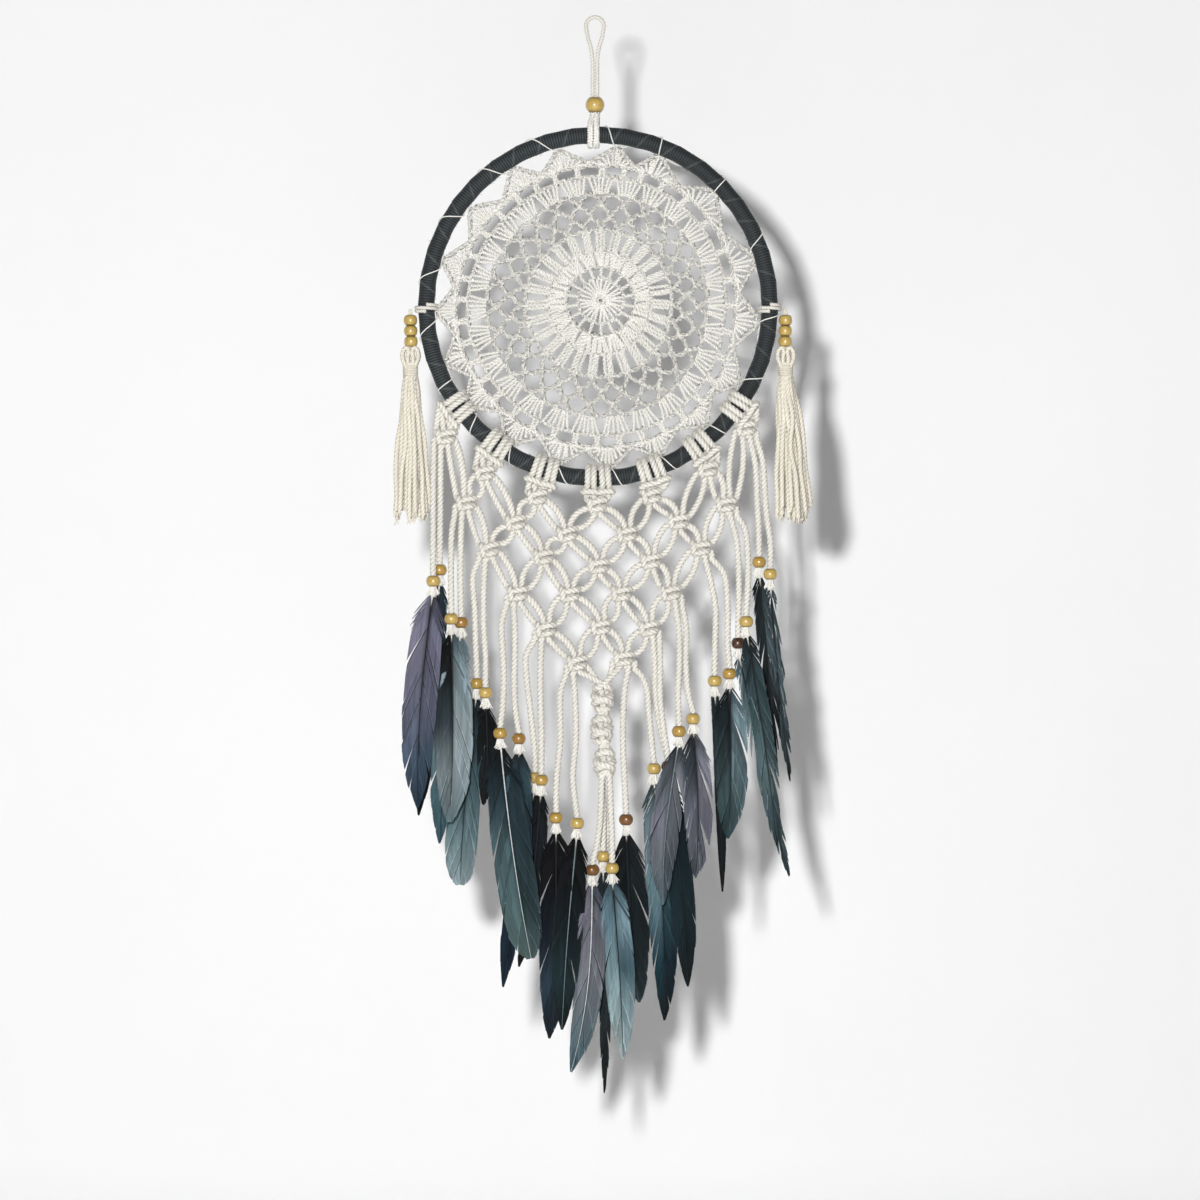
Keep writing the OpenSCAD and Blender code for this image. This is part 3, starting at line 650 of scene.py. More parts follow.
# A square knot's four strands from its top to its bottom, as [x, y, z] from its centre: the outer
# ones come in and leave at its sides, and the right one makes both of the bars across the front
LEFT_WORKER = [(-5.4, 0, 3.0), (-4.4, -2.2, 2.6), (-3.7, -3.4, 0.9), (-3.7, -3.4, -1.2), (-3.2, -1.8, -3.2),
               (-2.6, 1.8, -3.2), (-4.2, 2.2, -2.0), (-5.6, 0.6, -2.0)]
LEFT_CORE = [(-1.5, -1.2, 5.4), (-1.2, -0.6, 3.2), (-1.0, 0, 0), (-1.2, 0, -3.2), (-1.6, 0, -5.2)]
RIGHT_CORE = [(2.2, 0, 5.4), (1.6, 0.4, 2.6), (1.4, 0.4, 0), (1.4, 0, -3.2), (1.6, 0, -5.2)]
RIGHT_WORKER = [(5.4, 0, 2.6), (3.9, -2.8, 2.5), (1.1, -3.9, 2.1), (-1.4, -3.4, 1.4), (-2.4, -0.6, 0.6),
                (-0.6, 2.9, -0.2), (3.2, 2.6, -0.6), (4.3, -0.4, -1.2), (2.6, -3.4, -2.0),
                (0.4, -3.7, -2.4), (-1.5, -1.8, -2.9), (0.4, 1.9, -3.0), (3.8, 1.9, -2.2), (5.5, 0.4, -2.1)]
SQUARE = [LEFT_WORKER, LEFT_CORE, RIGHT_CORE, RIGHT_WORKER]


def berry_strand(k):
    """Strand k of a round knot: two run through its middle and two wind over them, crossing."""
    s = np.linspace(0, 1, 33)
    down = np.radians(14 + 152 * s)
    if k in (1, 2):
        wide, turn = 1.7 + 0 * s, math.pi * k + 0.6 * math.pi * s
    else:
        wide = (4.75 + 0.75 * np.cos(4.4 * math.pi * s + (math.pi if k else 0))) * np.sin(down) ** 0.6
        turn = (math.pi if k == 0 else 0) + (-1 if k else 1) * 4.4 * math.pi * s
    return list(zip(wide * np.cos(turn), wide * np.sin(turn), 7.3 * np.cos(down), strict=True))


def on_hoop(angle, across, radius, y):
    """Point at an angle from the hoop's lowest point, across the way and at a radius from its centre."""
    s, c = math.sin(math.radians(angle)), math.cos(math.radians(angle))
    return HOOP + (s * radius + c * across, y, s * across - c * radius)


# Half of a lark's head, from below the hoop round to the middle of its front bar, as
# [across, radius, y]
HALF_HEAD = [(-1.6, 104.8, 0.0), (-1.5, 102.2, 1.8), (-1.6, 99.6, 4.8), (-1.6, 95.3, 6.6),
             (-1.6, 90.8, 4.8), (-1.6, 88.8, 0), (-1.6, 90.7, -4.8), (-1.65, 95.0, -6.6),
             (-1.7, 99.0, -5.4), (-2.2, 101.4, -3.0), (-3.4, 103.0, -2.2), (-3.7, 103.2, -4.4),
             (-2, 103.0, -5.6), (0, 102.9, -5.6)]


def lark_head(angle, lean):
    left, right = ([on_hoop(angle, side * a + lean * (r - 95) * 0.02, r, y) for a, r, y in HALF_HEAD]
                   for side in (1, -1))
    return left + right[-2::-1]


def knots_of(i):
    """The knots that strand i goes through, as (row, knot, slot)."""
    found = []
    for row, places in enumerate(KNOTS):
        k, slot = divmod(i - 2 * row, 4)
        if i >= 2 * row and k < len(places):
            found.append((row, k, slot))
    return found


def turned(points, centre, tilt):
    """A knot's points, tilted and set at its place in the net."""
    c, s = math.cos(tilt), math.sin(tilt)
    return [HOOP * (1, 0, 0) + (centre[0] + c * x - s * z, y, centre[1] + s * x + c * z)
            for x, y, z in points]


def link(a, b, bow):
    """Points between two knots; bow pushes the strand out to its left on the way down."""
    way = b - a
    out = unit(np.array([-way[2], 0, way[0]]))
    return [a + way * share + out * bow * reach for share, reach in ((0.2, 0.66), (0.5, 1.0), (0.8, 0.66))]


def way_out(knot, slot):
    """Where the drop's strand takes over from the net's, beside or below the last knot."""
    x, z = knot[0] + SLOT_X[slot], knot[1] - 5.8
    starts = [strand[0] for strands, _ in DROPS.values() for strand in strands]
    near = min(starts, key=lambda p: math.hypot(p[0] - x, p[2] - z))
    return np.array([near[0] + HOOP[0], near[1], near[2] + NET_END])


def net_strand(i, tilts):
    """Points of strand i from under its lark's head to where it leaves the net, and the cord's
    radius at each: the outer strand of a pair that runs down to the right is the thicker one."""
    points, radii, last_slot = [], [], None
    for row, k, slot in knots_of(i):
        knot = turned(SQUARE[slot], KNOTS[row][k], tilts[row][k])
        if points:
            points += link(points[-1], knot[0], LINK_BOW[last_slot])
            radii += [THICK_R if last_slot == 3 else STRAND_R] * 3
        points += knot
        radii += [STRAND_R] * len(knot)
        last_slot = slot
    if i in SINNET:
        for k, centre in enumerate(BERRIES):
            ball = turned(berry_strand(i - SINNET[0]), centre, 0.0)
            if k == 0:
                ball = ball[5:]
                points += link(points[-1], ball[0], 0.4)
                radii += [STRAND_R] * 3
            points += ball
            radii += [BERRY_R] * len(ball)
    else:
        row, k, slot = knots_of(i)[-1]
        end = way_out(KNOTS[row][k], slot)
        if slot in (0, 3):  # an outer strand turns down just above the drop's cord
            points.append(end + (0.25 if slot == 0 else -0.25, 0, 1.0))
            radii.append(STRAND_R)
        points.append(end)
        radii.append(CORD_D / 2)
    return points, radii


def macrame():
    """Fourteen cords, each from one drop over the hoop and down through the net to another."""
    rng = np.random.default_rng(5)
    tilts = [[float(rng.normal(0, 0.05)) for _ in row] for row in KNOTS]
    for head in range(14):
        group, side = divmod(head, 2)
        angle = GROUPS[group] + (2 * side - 1) * HITCH_STEP
        loop = lark_head(angle, float(rng.normal(0, 0.4)))
        left, left_r = net_strand(2 * head, tilts)
        right, right_r = net_strand(2 * head + 1, tilts)
        points = left[::-1] + loop + right
        radii = left_r[::-1] + [STRAND_R] * len(loop) + right_r
        shape = Shape()
        path = smooth(points, 0.8)
        at = lengths(np.asarray(points))
        r = np.interp(lengths(path) / lengths(path)[-1], at / at[-1], radii)
        shape.tube(path, r, 18, 3, 7.2, 0.6, float(rng.uniform(0, 1)))
        rows = {row for i in (2 * head, 2 * head + 1) for row, _, _ in knots_of(i)}
        nodes = ["macrame_hitches"] + [f"net_row_{row + 1}" for row in sorted(rows)]
        if 2 * head in SINNET:
            nodes.append("berry_sinnet")
        make_piece(shape, f"macrame_cord_{head + 1:02d}", CREAM, "hoop", nodes)


macrame()


# ---------------------------------------------------------------- hoop


def ring_point(degrees, sec, rho):
    """Point on the hoop's section: degrees clockwise from the top; sec is 0 outside, 90 in front."""
    a, s = math.radians(degrees), math.radians(sec)
    r = RING_R + rho * math.cos(s)
    return HOOP + (r * math.sin(a), -rho * math.sin(s), r * math.cos(a))


def ribbon_wrap():
    """Ribbon wound round the hoop: each turn laps the last with a thin frayed edge."""
    steps, around, wraps = 1600, 44, 40
    a = np.arange(steps) * 2 * np.pi / steps
    s = np.arange(around) * 2 * np.pi / around
    at, sec = np.meshgrid(a, s, indexing="ij")
    lap = (at * wraps / (2 * np.pi) + sec / (2 * np.pi) + 0.06 * np.sin(7 * at)) % 1.0
    rise = 0.16 * np.clip(1 - lap / 0.9, 0, 1) - 0.05
    edge = np.exp(-(np.minimum(lap, 1 - lap) / 0.03) ** 2)
    pull = 0.12 * np.cos(2 * np.pi * lap)
    r = TUBE_R - 0.12 + rise + 0.05 * edge
    out = RING_R + r * np.cos(sec) + pull * np.cos(sec)
    rings = HOOP + np.stack([out * np.sin(at), -r * np.sin(sec), out * np.cos(at)], axis=-1)
    ids = np.arange(steps * around).reshape(steps, around)
    ahead = np.roll(ids, -1, axis=0)
    corners = [ids, ahead, np.roll(ahead, -1, axis=1), np.roll(ids, -1, axis=1)]
    quads = np.stack(corners, axis=-1).reshape(-1, 4)
    low = (a * RING_R)[:, None] + np.zeros(around)
    high = low + 2 * np.pi * RING_R / steps
    u0 = np.broadcast_to(np.arange(around) / around, low.shape)
    u1 = u0 + 1 / around
    uv = np.stack([u0, low, u0, high, u1, high, u1, low], axis=-1).reshape(-1, 2)
    mesh = bpy.data.meshes.new("ribbon_wrap_turns")
    mesh.from_pydata(rings.reshape(-1, 3) * MM, [], quads)
    mesh.uv_layers.new(name="Round").data.foreach_set("uv", uv.astype(np.float32).ravel())
    tone = mesh.attributes.new("tone", "FLOAT", "POINT")
    tone.data.foreach_set("value", edge.astype(np.float32).ravel())
    mesh.shade_smooth()
    make_piece(mesh, "ribbon_wrap_turns", RIBBON, "hoop", ["ribbon_wrap"])


def stray_threads():
    """Short dark threads that have worked loose from the ribbon's edges."""
    rng = np.random.default_rng(8)
    shape = Shape()
    for _ in range(230):
        a = rng.uniform(0, 360)
        sec = rng.uniform(110, 250) if rng.uniform() < 0.75 else rng.uniform(-40, 40)
        p = ring_point(a, sec, TUBE_R - 0.1)
        out = unit(p - ring_point(a, sec, 0.0))
        along = unit(ring_point(a + 1, sec, TUBE_R) - p) * rng.choice([-1, 1])
        size = rng.uniform(0.5, 1.9)
        path = np.array([p, p + out * size * 0.4 + along * size * 0.3, p + out * size * 0.6 + along * size])
        shape.tube(smooth(path, 0.4), 0.07, 4, tone=1.0)
    make_piece(shape, "ribbon_stray_threads", RIBBON, "hoop")


ribbon_wrap()
stray_threads()
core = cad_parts["hoop_core"].data.materials
core.clear()
core.append(wood_material())


# ---------------------------------------------------------------- crochet web

WEB = HOOP + (1.7, 0, 3.4)
TIPS = [6, 22, 46, 75, 98, 121, 140, 159, 177, 195, 213, 232, 248, 266, 284, 305, 326, 344]
TIP_R = [85, 87, 87, 88, 88, 89, 90, 92, 93.5, 94, 95, 94, 93, 91, 90, 88, 88, 86]
YARN_R = 0.78


def web_point(r, degrees, y=0.0):
    """Point in the web. Its rounds are drawn out towards the lower left, as on the real one, and
    beyond the last round of holes they reach to the fans' own tips, a radius of 100 here."""
    d = degrees % 360
    pull = np.interp(d, [0, 100, 150, 260, 315, 360], [0.92, 0.92, 1.0, 1.0, 0.93, 0.92])
    inner = min(r, 82.0)
    inner *= 1 + (pull - 1) * min(max((inner - 8) / 22, 0), 1)
    tip = np.interp(d, [TIPS[-1] - 360, *TIPS, TIPS[0] + 360], [TIP_R[-1], *TIP_R, TIP_R[0]])
    r = inner + (tip - inner) * max(r - 82.0, 0) / 18
    a = math.radians(degrees)
    return WEB + (r * math.sin(a), y, r * math.cos(a))


class Crochet:
    """Stitches of the web, each made of strands of yarn."""

    def __init__(self):
        self.shape = Shape()
        self.rng = np.random.default_rng(3)

    def jitter(self, p, size=0.18):
        return np.asarray(p) + self.rng.normal(0, size, 3) * (1, 0.4, 1)

    def strands(self, path, count, width, depth, pitch, knit=1, r=YARN_R):
        """Strands that pass round each other along a path; knit 2 gives the plait of a chain."""
        path = resample(path, 0.62)
        out = unit(np.cross(unit(np.gradient(path, axis=0)), (0, 1, 0)))
        turn = 2 * np.pi * lengths(path) / pitch + self.rng.uniform(0, 2 * np.pi)
        for k in range(count):
            th = turn + 2 * np.pi * k / count
            moved = path + out * (width * np.sin(th))[:, None]
            moved[:, 1] += depth * (np.sin(2 * th) if knit == 2 else np.cos(th))
            self.shape.tube(moved, r, 8, 2, 2.6, 0.6, float(self.rng.uniform(0, 1)))

    def chain(self, points):
        self.strands(smooth([self.jitter(p, 0.12) for p in points], 0.6), 3, 0.88, 0.55, 4.4, 2, 0.84)

    def post(self, a, b, wide=0.5):
        """Tall stitch from a to b, its two legs wrapped round each other."""
        a, b = self.jitter(a), self.jitter(b)
        middle = (a + b) / 2 + self.rng.normal(0, 0.22, 3) * (1, 0.5, 1)
        self.strands(smooth([a, middle, b], 0.6), 2, wide, 0.5, 4.6)

    def ring(self, r, wave=0.0, count=1, turn=0.0):
        at = np.linspace(0, 360, 97)
        self.chain([web_point(r + wave * math.cos(math.radians((d - turn) * count)), d) for d in at])


def crochet_web():
    web = Crochet()
    web.ring(2.1)
    for k in range(28):
        d = k * 360 / 28
        web.post(web_point(2.6, d), web_point(12.4, d + 3), 0.36)
    web.ring(12.6)
    for k in range(18):
        d = 20 * k
        web.post(web_point(12.6, d), web_point(19.8, d), 0.6)
        for inner, outer in ((-2.5, -7.5), (-1, -3.8), (0.5, 0), (2, 3.6), (6.5, 7.2), (9.5, 9.4)):
            web.post(web_point(19.8, d + inner), web_point(29.6, d + outer))
    web.ring(19.8, 0.5, 18)
    web.ring(29.8)
    step = 360 / 27
    for k in range(27):
        d = step * k
        for inner, outer in ((-3.6, -2.6), (-0.1, 0.2), (3.4, 2.8)):
            web.post(web_point(29.8, d + inner), web_point(41.8, d + outer), 0.62)
    web.ring(42.3, -0.6, 27)
    web_loops(web, step)
    web_shells(web, step)
    web_edge(web)
    make_piece(web.shape, "crochet_web_yarn", WEB_YARN, "hoop", ["crochet_web"])


# A loop of chain, as [share of its width, share of its height]
ARCH = [(0, -0.06), (0.09, 0.4), (0.26, 0.8), (0.5, 0.97), (0.74, 0.8), (0.91, 0.4), (1, -0.06)]


def web_loops(web, step):
    """Three rows of chain loops, each hung from the middles of the last row's."""
    for row, (low, high) in enumerate(((42.0, 50.2), (49.8, 57.8), (57.4, 64.8))):
        for k in range(27):
            d = step * (k + 0.5 * row)
            side = float(web.rng.normal(0, 0.25))
            web.chain([web_point(low + (high - low) * up, d + side + step * share, 0.25 * (-1) ** k)
                       for share, up in ARCH])


def web_shells(web, step):
    """Round of fans that open outwards, with small gaps between, under one plain chain."""
    for k in range(27):
        d = step * k
        for share in (-1.0, -0.6, -0.2, 0.2, 0.6, 1.0):
            inner, outer = d + share * 0.25 * step, d + share * 0.43 * step
            web.post(web_point(64.2, inner), web_point(74.6, outer), 0.45)
    web.ring(74.8)


def web_edge(web):
    """Round of oval holes, and the pointed fans that the lacing pulls on."""
    count = len(TIPS)
    for k, tip in enumerate(TIPS):
        before = TIPS[k - 1] - (360 if k == 0 else 0)
        after = TIPS[(k + 1) % count] + (360 if k == count - 1 else 0)
        low, high = (before + tip) / 2, (tip + after) / 2
        near, far = (low + tip) / 2, (tip + high) / 2
        for edge in (near, far):
            for side in (-0.9, 0.9):
                web.post(web_point(75.0, edge + side), web_point(80.6, edge + side * 0.5), 0.6)
        for arc in (((80.2, near), (81.6, near + (tip - near) * 0.45), (82.0, tip),
                     (81.6, tip + (far - tip) * 0.55), (80.2, far)),
                    ((80.2, far), (81.4, (far + high) / 2), (81.8, high)),
                    ((81.8, low), (81.4, (low + near) / 2), (80.2, near))):
            web.chain([web_point(r, d) for r, d in arc])
        for share in np.linspace(-1, 1, 11):
            half = abs((high if share > 0 else low) - tip)
            foot = web_point(81.8, tip + half * 0.46 * share)
            spread = half * 0.9 * share * (1 - 0.25 * (1 - abs(share)))
            web.post(foot, web_point(99.0 - 15.5 * abs(share), tip + spread), 0.42)
        web.chain([web_point(r, d) for r, d in ((83.4, low), (91.5, (low + tip) / 2), (100, tip),
                                                (91.5, (tip + high) / 2), (83.4, high))])


# Where the lacing thread crosses the hoop: its outer point, then the fan's tip, as [x, z]
CROSSINGS = [
    ((4.4, -61.2), (9.4, -73.3)), ((35.6, -67.8), (34.4, -77.2)), ((71.4, -90.6), (64.8, -98.3)),
    ((91.1, -120), (85.6, -131.4)), ((98.9, -166.1), (90, -171.4)), ((91.1, -200), (78.9, -203.3)),
    ((70.6, -231.4), (60.6, -227.5)), ((43.9, -251.1), (33.9, -245.8)), ((14.2, -260.6), (6.7, -252.2)),
    ((-15.6, -261.1), (-24.4, -248.3)), ((-49.4, -251.1), (-50, -238.9)),
    ((-71.4, -233.9), (-73.3, -226.1)), ((-88.6, -208.9), (-81.4, -202.2)),
    ((-98.3, -180), (-89.4, -168.3)), ((-98.3, -148.3), (-87.8, -140)), ((-87.2, -114.4), (-75, -110.6)),
    ((-66.1, -86.7), (-51.9, -87.2)), ((-39.1, -69.8), (-23.5, -75.7)),
]


def clockwise(x, z):
    return math.degrees(math.atan2(x, z - HOOP[2])) % 360


def web_lacing():
    """One thread from fan to fan: out behind the hoop, over its edge, and down across its front."""
    points = []
    rho = TUBE_R + 0.55
    angles = [(clockwise(*outer), clockwise(*inner)) for outer, inner in CROSSINGS]
    for k, (outer, inner) in enumerate(angles):
        inner += 360 * round((outer - inner) / 360)
        following = angles[(k + 1) % len(angles)][0]
        following += 360 * math.ceil((inner - following) / 360)
        tip = HOOP + (CROSSINGS[k][1][0], 0.0, CROSSINGS[k][1][1] - HOOP[2])
        for share in (0, 0.2, 0.4, 0.6, 0.8, 0.97):
            points.append(ring_point(outer + (inner - outer) * share, 185 * share, rho))
        points += [tip + (0, -0.9, 0), tip + (0.2, 0.9, 0)]
        # Behind the hoop's top the thread lies pressed into the ribbon, under the hanging cord
        under = rho - (0.22 if k == len(angles) - 1 else 0)
        for share in (0.06, 0.25, 0.5, 0.75, 0.93):
            degrees = inner + (following - inner) * (0.2 + 0.8 * share)
            points.append(ring_point(degrees, 182 + 170 * share, under))
    shape = Shape()
    path = smooth([*points, points[0]], 0.6)
    shape.tube(path, 0.42, 8, 2, 2.2, 0.6, 0.4)
    make_piece(shape, "web_lacing_thread", THREAD, "hoop", ["web_lacing"])


crochet_web()
web_lacing()


# ---------------------------------------------------------------- top bead and hitch


def top_bead():
    shape = Shape()
    barrel(shape, (0, 0, -50), 10.6, 8.3, 2.9, STRAW, 0.37, 2.6)
    make_piece(shape, "hanging_bead_wood", BEAD, "bead_swivel", ["top_bead"])


def plait(shape, points, d, pitch, k):
    """Three strands plaited along a path."""
    path = smooth(points, 0.45)
    side, up = sides_of(path)
    turn = 2 * np.pi * lengths(path) / pitch + k
    for strand in range(3):
        th = turn + strand * 2 * np.pi / 3
        moved = path + side * (d * 0.3 * np.sin(th))[:, None] + up * (d * 0.17 * np.sin(2 * th))[:, None]
        shape.tube(moved, d * 0.27, 12, 3, 2.6, 0.9, 0.2 + 0.3 * strand)


def top_hitch():
    """The hanging cord's lower ends, doubled over the hoop in front of the web's top."""
    shape = Shape()
    for k, x in enumerate((-2.5, 0.85)):
        near = (k - 0.5) * 1.9
        points = [(near, 0, -54.4), (near * 1.2, -1.0, -56.4), (x * 0.7 + near * 0.3, -3.2, -59.2),
                  (x, -5.8, -62.6), (x, -6.5, -66.8), (x, -5.4, -70.8), (x, -1.8, -72.7), (x, 2.8, -72.7),
                  (x, 6.3, -70.3), (x, 7.0, -65.6), (x, 5.1, -60.9), (x * 0.6 + near * 0.4, 2.2, -58.7),
                  (near, 1.1, -56.6)]
        plait(shape, points, 3.5, 4.6, k)
    make_piece(shape, "hanging_hitch_cord", THREAD, "hitch", ["top_hitch"])


top_bead()
top_hitch()


# ---------------------------------------------------------------- tassels

TASSEL_X, TASSEL_Z = 104.2, -163.0
GOLDEN_ANGLE = 2.39996  # spreads yarns evenly over a round section


def tassel_tie(side, name):
    shape = Shape()
    turns = np.radians(np.linspace(0, 360 * 2, 2 * 18 + 1))
    r = TUBE_R + 1.05
    rng = np.random.default_rng(2 + side)
    path = [(HOOP[0] + side * RING_R + (r + 0.12 * rng.normal()) * math.sin(a), -r * math.cos(a),
             TASSEL_Z + 1.9 - 3.8 * k / (len(turns) - 1)) for k, a in enumerate(turns)]
    rope(shape, path, 2.1, 5.2, 0.6, 12, 0.5)
    make_piece(shape, name + "_tie_cord", CREAM, "hoop", [name + "_tie"])


def tassel_yarns(shape, side, lean, rng):
    """Skirt of twisted yarns that spread from the wrap and end unevenly in loose fibres."""
    x0, count = HOOP[0] + side * TASSEL_X, 24
    t = np.array([0, 0.12, 0.3, 0.5, 0.7, 0.86, 1.0])
    for k in range(count):
        share = math.sqrt((k + 0.5) / count)
        a = k * GOLDEN_ANGLE
        c, s = math.cos(a) * share, math.sin(a) * share
        length = 76 + rng.uniform(-5.5, 5.0)
        spread = 3.0 + 7.6 * t ** 0.75
        sway = rng.normal(0, 0.95, (2, len(t))) * np.sin(np.pi * np.clip(t * 1.15, 0, 1))
        x = x0 + c * spread + sway[0] + math.sin(lean) * length * t
        y = s * spread * 0.92 + sway[1]
        z = -200.2 - math.cos(lean) * length * t
        path = np.stack([x, y, z], axis=1)
        tone = float(rng.uniform(0, 1))
        line = rope(shape, path, 3.2, 7.4, tone, 15, 1.0)
        fray_yarn(shape, line[-1], rng)


def fray_yarn(shape, end, rng):
    t = np.linspace(0, 1, 4)
    for _ in range(5):
        out = rng.normal(0, 0.75, 2)
        drop = rng.uniform(1.6, 4.2)
        path = np.stack([end[0] + out[0] * t**0.7, end[1] + out[1] * t**0.7,
                         end[2] + 0.8 - drop * t], axis=1)
        shape.tube(path, 0.5 * (1 - 0.5 * t), 5, tone=float(rng.uniform(0, 1)))


def tassel_head(shape, x0, rng):
    """Strands through the beads, two folded lobes, and the band wound under them."""
    for k in (-1, 1):
        core = [(x0 + 0.45 * k, 0.2 * k, -163.5), (x0 + 0.5 * k, -0.2 * k, -174), (x0 + 0.45 * k, 0, -186)]
        rope(shape, core, 1.35, 3.6, 0.5, 12, 0.6)
        for y in (-1.7, 0.5, 2.4):
            lobe = [(x0 + 1.2 * k, y, -198), (x0 + 2.9 * k, y - 0.3, -194.4), (x0 + 4.4 * k, y, -190.4),
                    (x0 + 3.9 * k, y + 0.2, -186.4), (x0 + 1.9 * k, y, -184.8), (x0 + 1.0 * k, y, -187.4),
                    (x0 + 1.5 * k, y, -191), (x0 + 0.6 * k, y, -198)]
            rope(shape, lobe, 2.7, 6.0, float(rng.uniform(0, 1)), 12, 0.7)
    turns = np.radians(np.linspace(0, 360 * 4.5, 4 * 18 + 9))
    band = [(x0 + 3.5 * math.cos(a), 3.5 * math.sin(a), -194.6 - 6.0 * k / (len(turns) - 1))
            for k, a in enumerate(turns)]
    rope(shape, band, 1.75, 4.4, 0.9, 12, 0.6)
    rope(shape, [(x0, 0, -193), (x0, 0, -197), (x0, 0, -202)], 6.2, 14.0, 0.1, 12, 1.0)


def tassel(side, name, lean):
    rng = np.random.default_rng(20 + side)
    tassel_tie(side, name)
    x0 = HOOP[0] + side * TASSEL_X
    beads = Shape()
    for k, z in enumerate((-169.6, -175.5, -181.4)):
        barrel(beads, (x0 - 0.15 * k * side, 0, z), 7.5, 5.85, 1.9, STRAW, 0.2 + 0.3 * k, 0.3, 0.45)
    make_piece(beads, name + "_wooden_beads", BEAD, name, [name + "_beads"])
    skirt = Shape()
    tassel_head(skirt, x0, rng)
    tassel_yarns(skirt, side, math.radians(lean), rng)
    make_piece(skirt, name + "_yarns", TASSEL_YARN, name, [name + "_skirt"])


tassel(-1, "left_tassel", 0.6)
tassel(1, "right_tassel", 3.2)


# ---------------------------------------------------------------- feathers

LIGHT_SHAFT, MID_SHAFT, DARK_SHAFT = "b2b8b8", "68767a", "181c1f"


def hex_colours(text):
    """Rows of linear red, green and blue, from hex colours with spaces between."""
    return np.array([srgb(*bytes.fromhex(part))[:3] for part in text.split()])


def plume(width, bow, hook, left, right=None, shaft=DARK_SHAFT, loose=0.1, blunt=0.0):
    """A feather's look. Bow pushes its middle and hook its tip to the right; left and right are
    its colours down each side; a loose vane splits and a blunt one ends round."""
    return {"width": width, "bow": bow, "hook": hook, "shaft": hex_colours(shaft)[0],
            "colours": (hex_colours(left), hex_colours(right or left)), "loose": loose, "blunt": blunt}


LOOKS = {
    "left_drop_1": [
        plume(23, -2.5, 1, "6a6a7c 7a788a 7a7c90 546478 223848", "545666 68687a 707286 4c5e70 283e4e"),
        plume(15, 1, 0, "24343c 2c444c 283c46 0c1216")],
    "left_drop_2": [
        plume(26, 1.5, -1, "0a0c0e 0e1214 3a464c 8c9a9e 788a90",
              "2c3e46 8ca0a6 acbcc0 a0b0b6 6e848a", blunt=0.2),
        plume(19, -1.5, 0, "60727c 8c9ea6 80969e 54767e 3c5e68")],
    "left_drop_3": [
        plume(22, -2, -1, "10161a 344a52 546e76 789298 a0b4b8", blunt=0.8),
        plume(16, 2, 0, "080a0c 0e1214 1e262a 0a0c0e", loose=0.5)],
    "left_drop_4": [
        plume(28, 0, 5, "06080a 22343c 4e666c 546c6e 566c6a",
              "0a0c0e 24363e 2e4046 34484c 546a6a", LIGHT_SHAFT, 0.1, 0.6),
        plume(17, -3, 0, "0c1012 38505a 2c404a 162836 0c1218")],
    "left_drop_5": [
        plume(14, -1, 0, "06080a 080a0e 101a24 1a2e40 182c3c"),
        plume(14, 2, 0, "0a0c0e 1e262e 0e141a 080a0e", loose=0.3)],
    "left_drop_6": [
        plume(22, 2, 0, "06060c 08080e 16202a 2e404e 0e1a22"),
        plume(20, -1, 0, "080a0b 0a0e11 162428 22363a 0c1216", shaft=MID_SHAFT)],
    "centre_drop": [
        plume(19, 3, -5, "706e7c 82828e 8a8e96 788a92 54747e",
              "464c58 6e707a 82868e 708088 506e78", LIGHT_SHAFT),
        plume(20, 1, 0, "2c3e48 6e8c98 8ca8b0 a4bcc0 bcced0", "3c5460 809ca6 506e7a 96b0b6 b4c8cc"),
        plume(9, 1, 0, "1e282c 38484c 283236 0c1012", loose=0.7),
        plume(12, -1, 0, "1e282e 384a52 2e3e44 0e1214", loose=0.4)],
    "right_drop_6": [
        plume(25, -1, 2, "080a0b 10161a 1a262a 223236 3c4a50", "0e1214 1e262a 1a2428 1e2a2e 324046"),
        plume(21, 2, 0, "405058 7c949c 6e8c96 244a58 080c0e",
              "5a6872 708a94 3c5c66 122c38 080a0c", loose=0.25)],
    "right_drop_5": [
        plume(17, 1.5, 0, "0a0c0d 162428 1a2e34 182c32 0c161a"),
        plume(12, -1, 0, "50626a 3c525a 141c20 0a0c0e")],
    "right_drop_4": [
        plume(21, -3, 0, "161a1c 646c74 828490 707880 50646c",
              "282c2e 82868e 767c84 545e66 5a6a72", MID_SHAFT, 0.4),
        plume(20, 2.5, 0, "121416 404850 686c78 6e707c 404850",
              "3c4248 7e808c 868694 767886 646a74", loose=0.35)],
    "right_drop_3": [
        plume(7, 1, 0, "1e282c 223236 141e22 0a0c0e"),
        plume(22, 1.5, 0, "0c1012 182428 344448 3e5254 2c4246",
              "2c3c44 70868e 687e84 546a6e 3c5458", loose=0.2)],
    "right_drop_2": [
        plume(12, -1.5, 0, "50646c 748a8e 5c7276 243438", loose=0.85),
        plume(14, 1.5, 0, "0e1214 42585e 5e7478 24363c", loose=0.4)],
    "right_drop_1": [
        plume(13, 1, 0, "12181a 283236 0c1012 080a0c", "1e282c 607278 182024 0a0c0e", loose=0.95),
        plume(11, -1, 0, "38464c 586a70 46565c 181e22", loose=1.3)],
}
# Width of the vane where its barbs end, for a pointed and for a round-ended feather
VANE_T = [0.0, 0.2, 0.4, 0.6, 0.78, 0.89, 0.96, 1.0]
POINTED = [0.66, 0.86, 1.0, 0.98, 0.82, 0.56, 0.28, 0.06]
ROUNDED = [0.6, 0.74, 0.84, 0.94, 1.0, 0.96, 0.7, 0.3]
VANE_FROM = 0.012  # share of the shaft that is bare quill
BARB_STEP = 0.75


def vane_colour(t, table):
    at = np.linspace(0, 1, len(table))
    return np.stack([np.interp(t, at, table[:, k]) for k in range(3)], axis=-1)


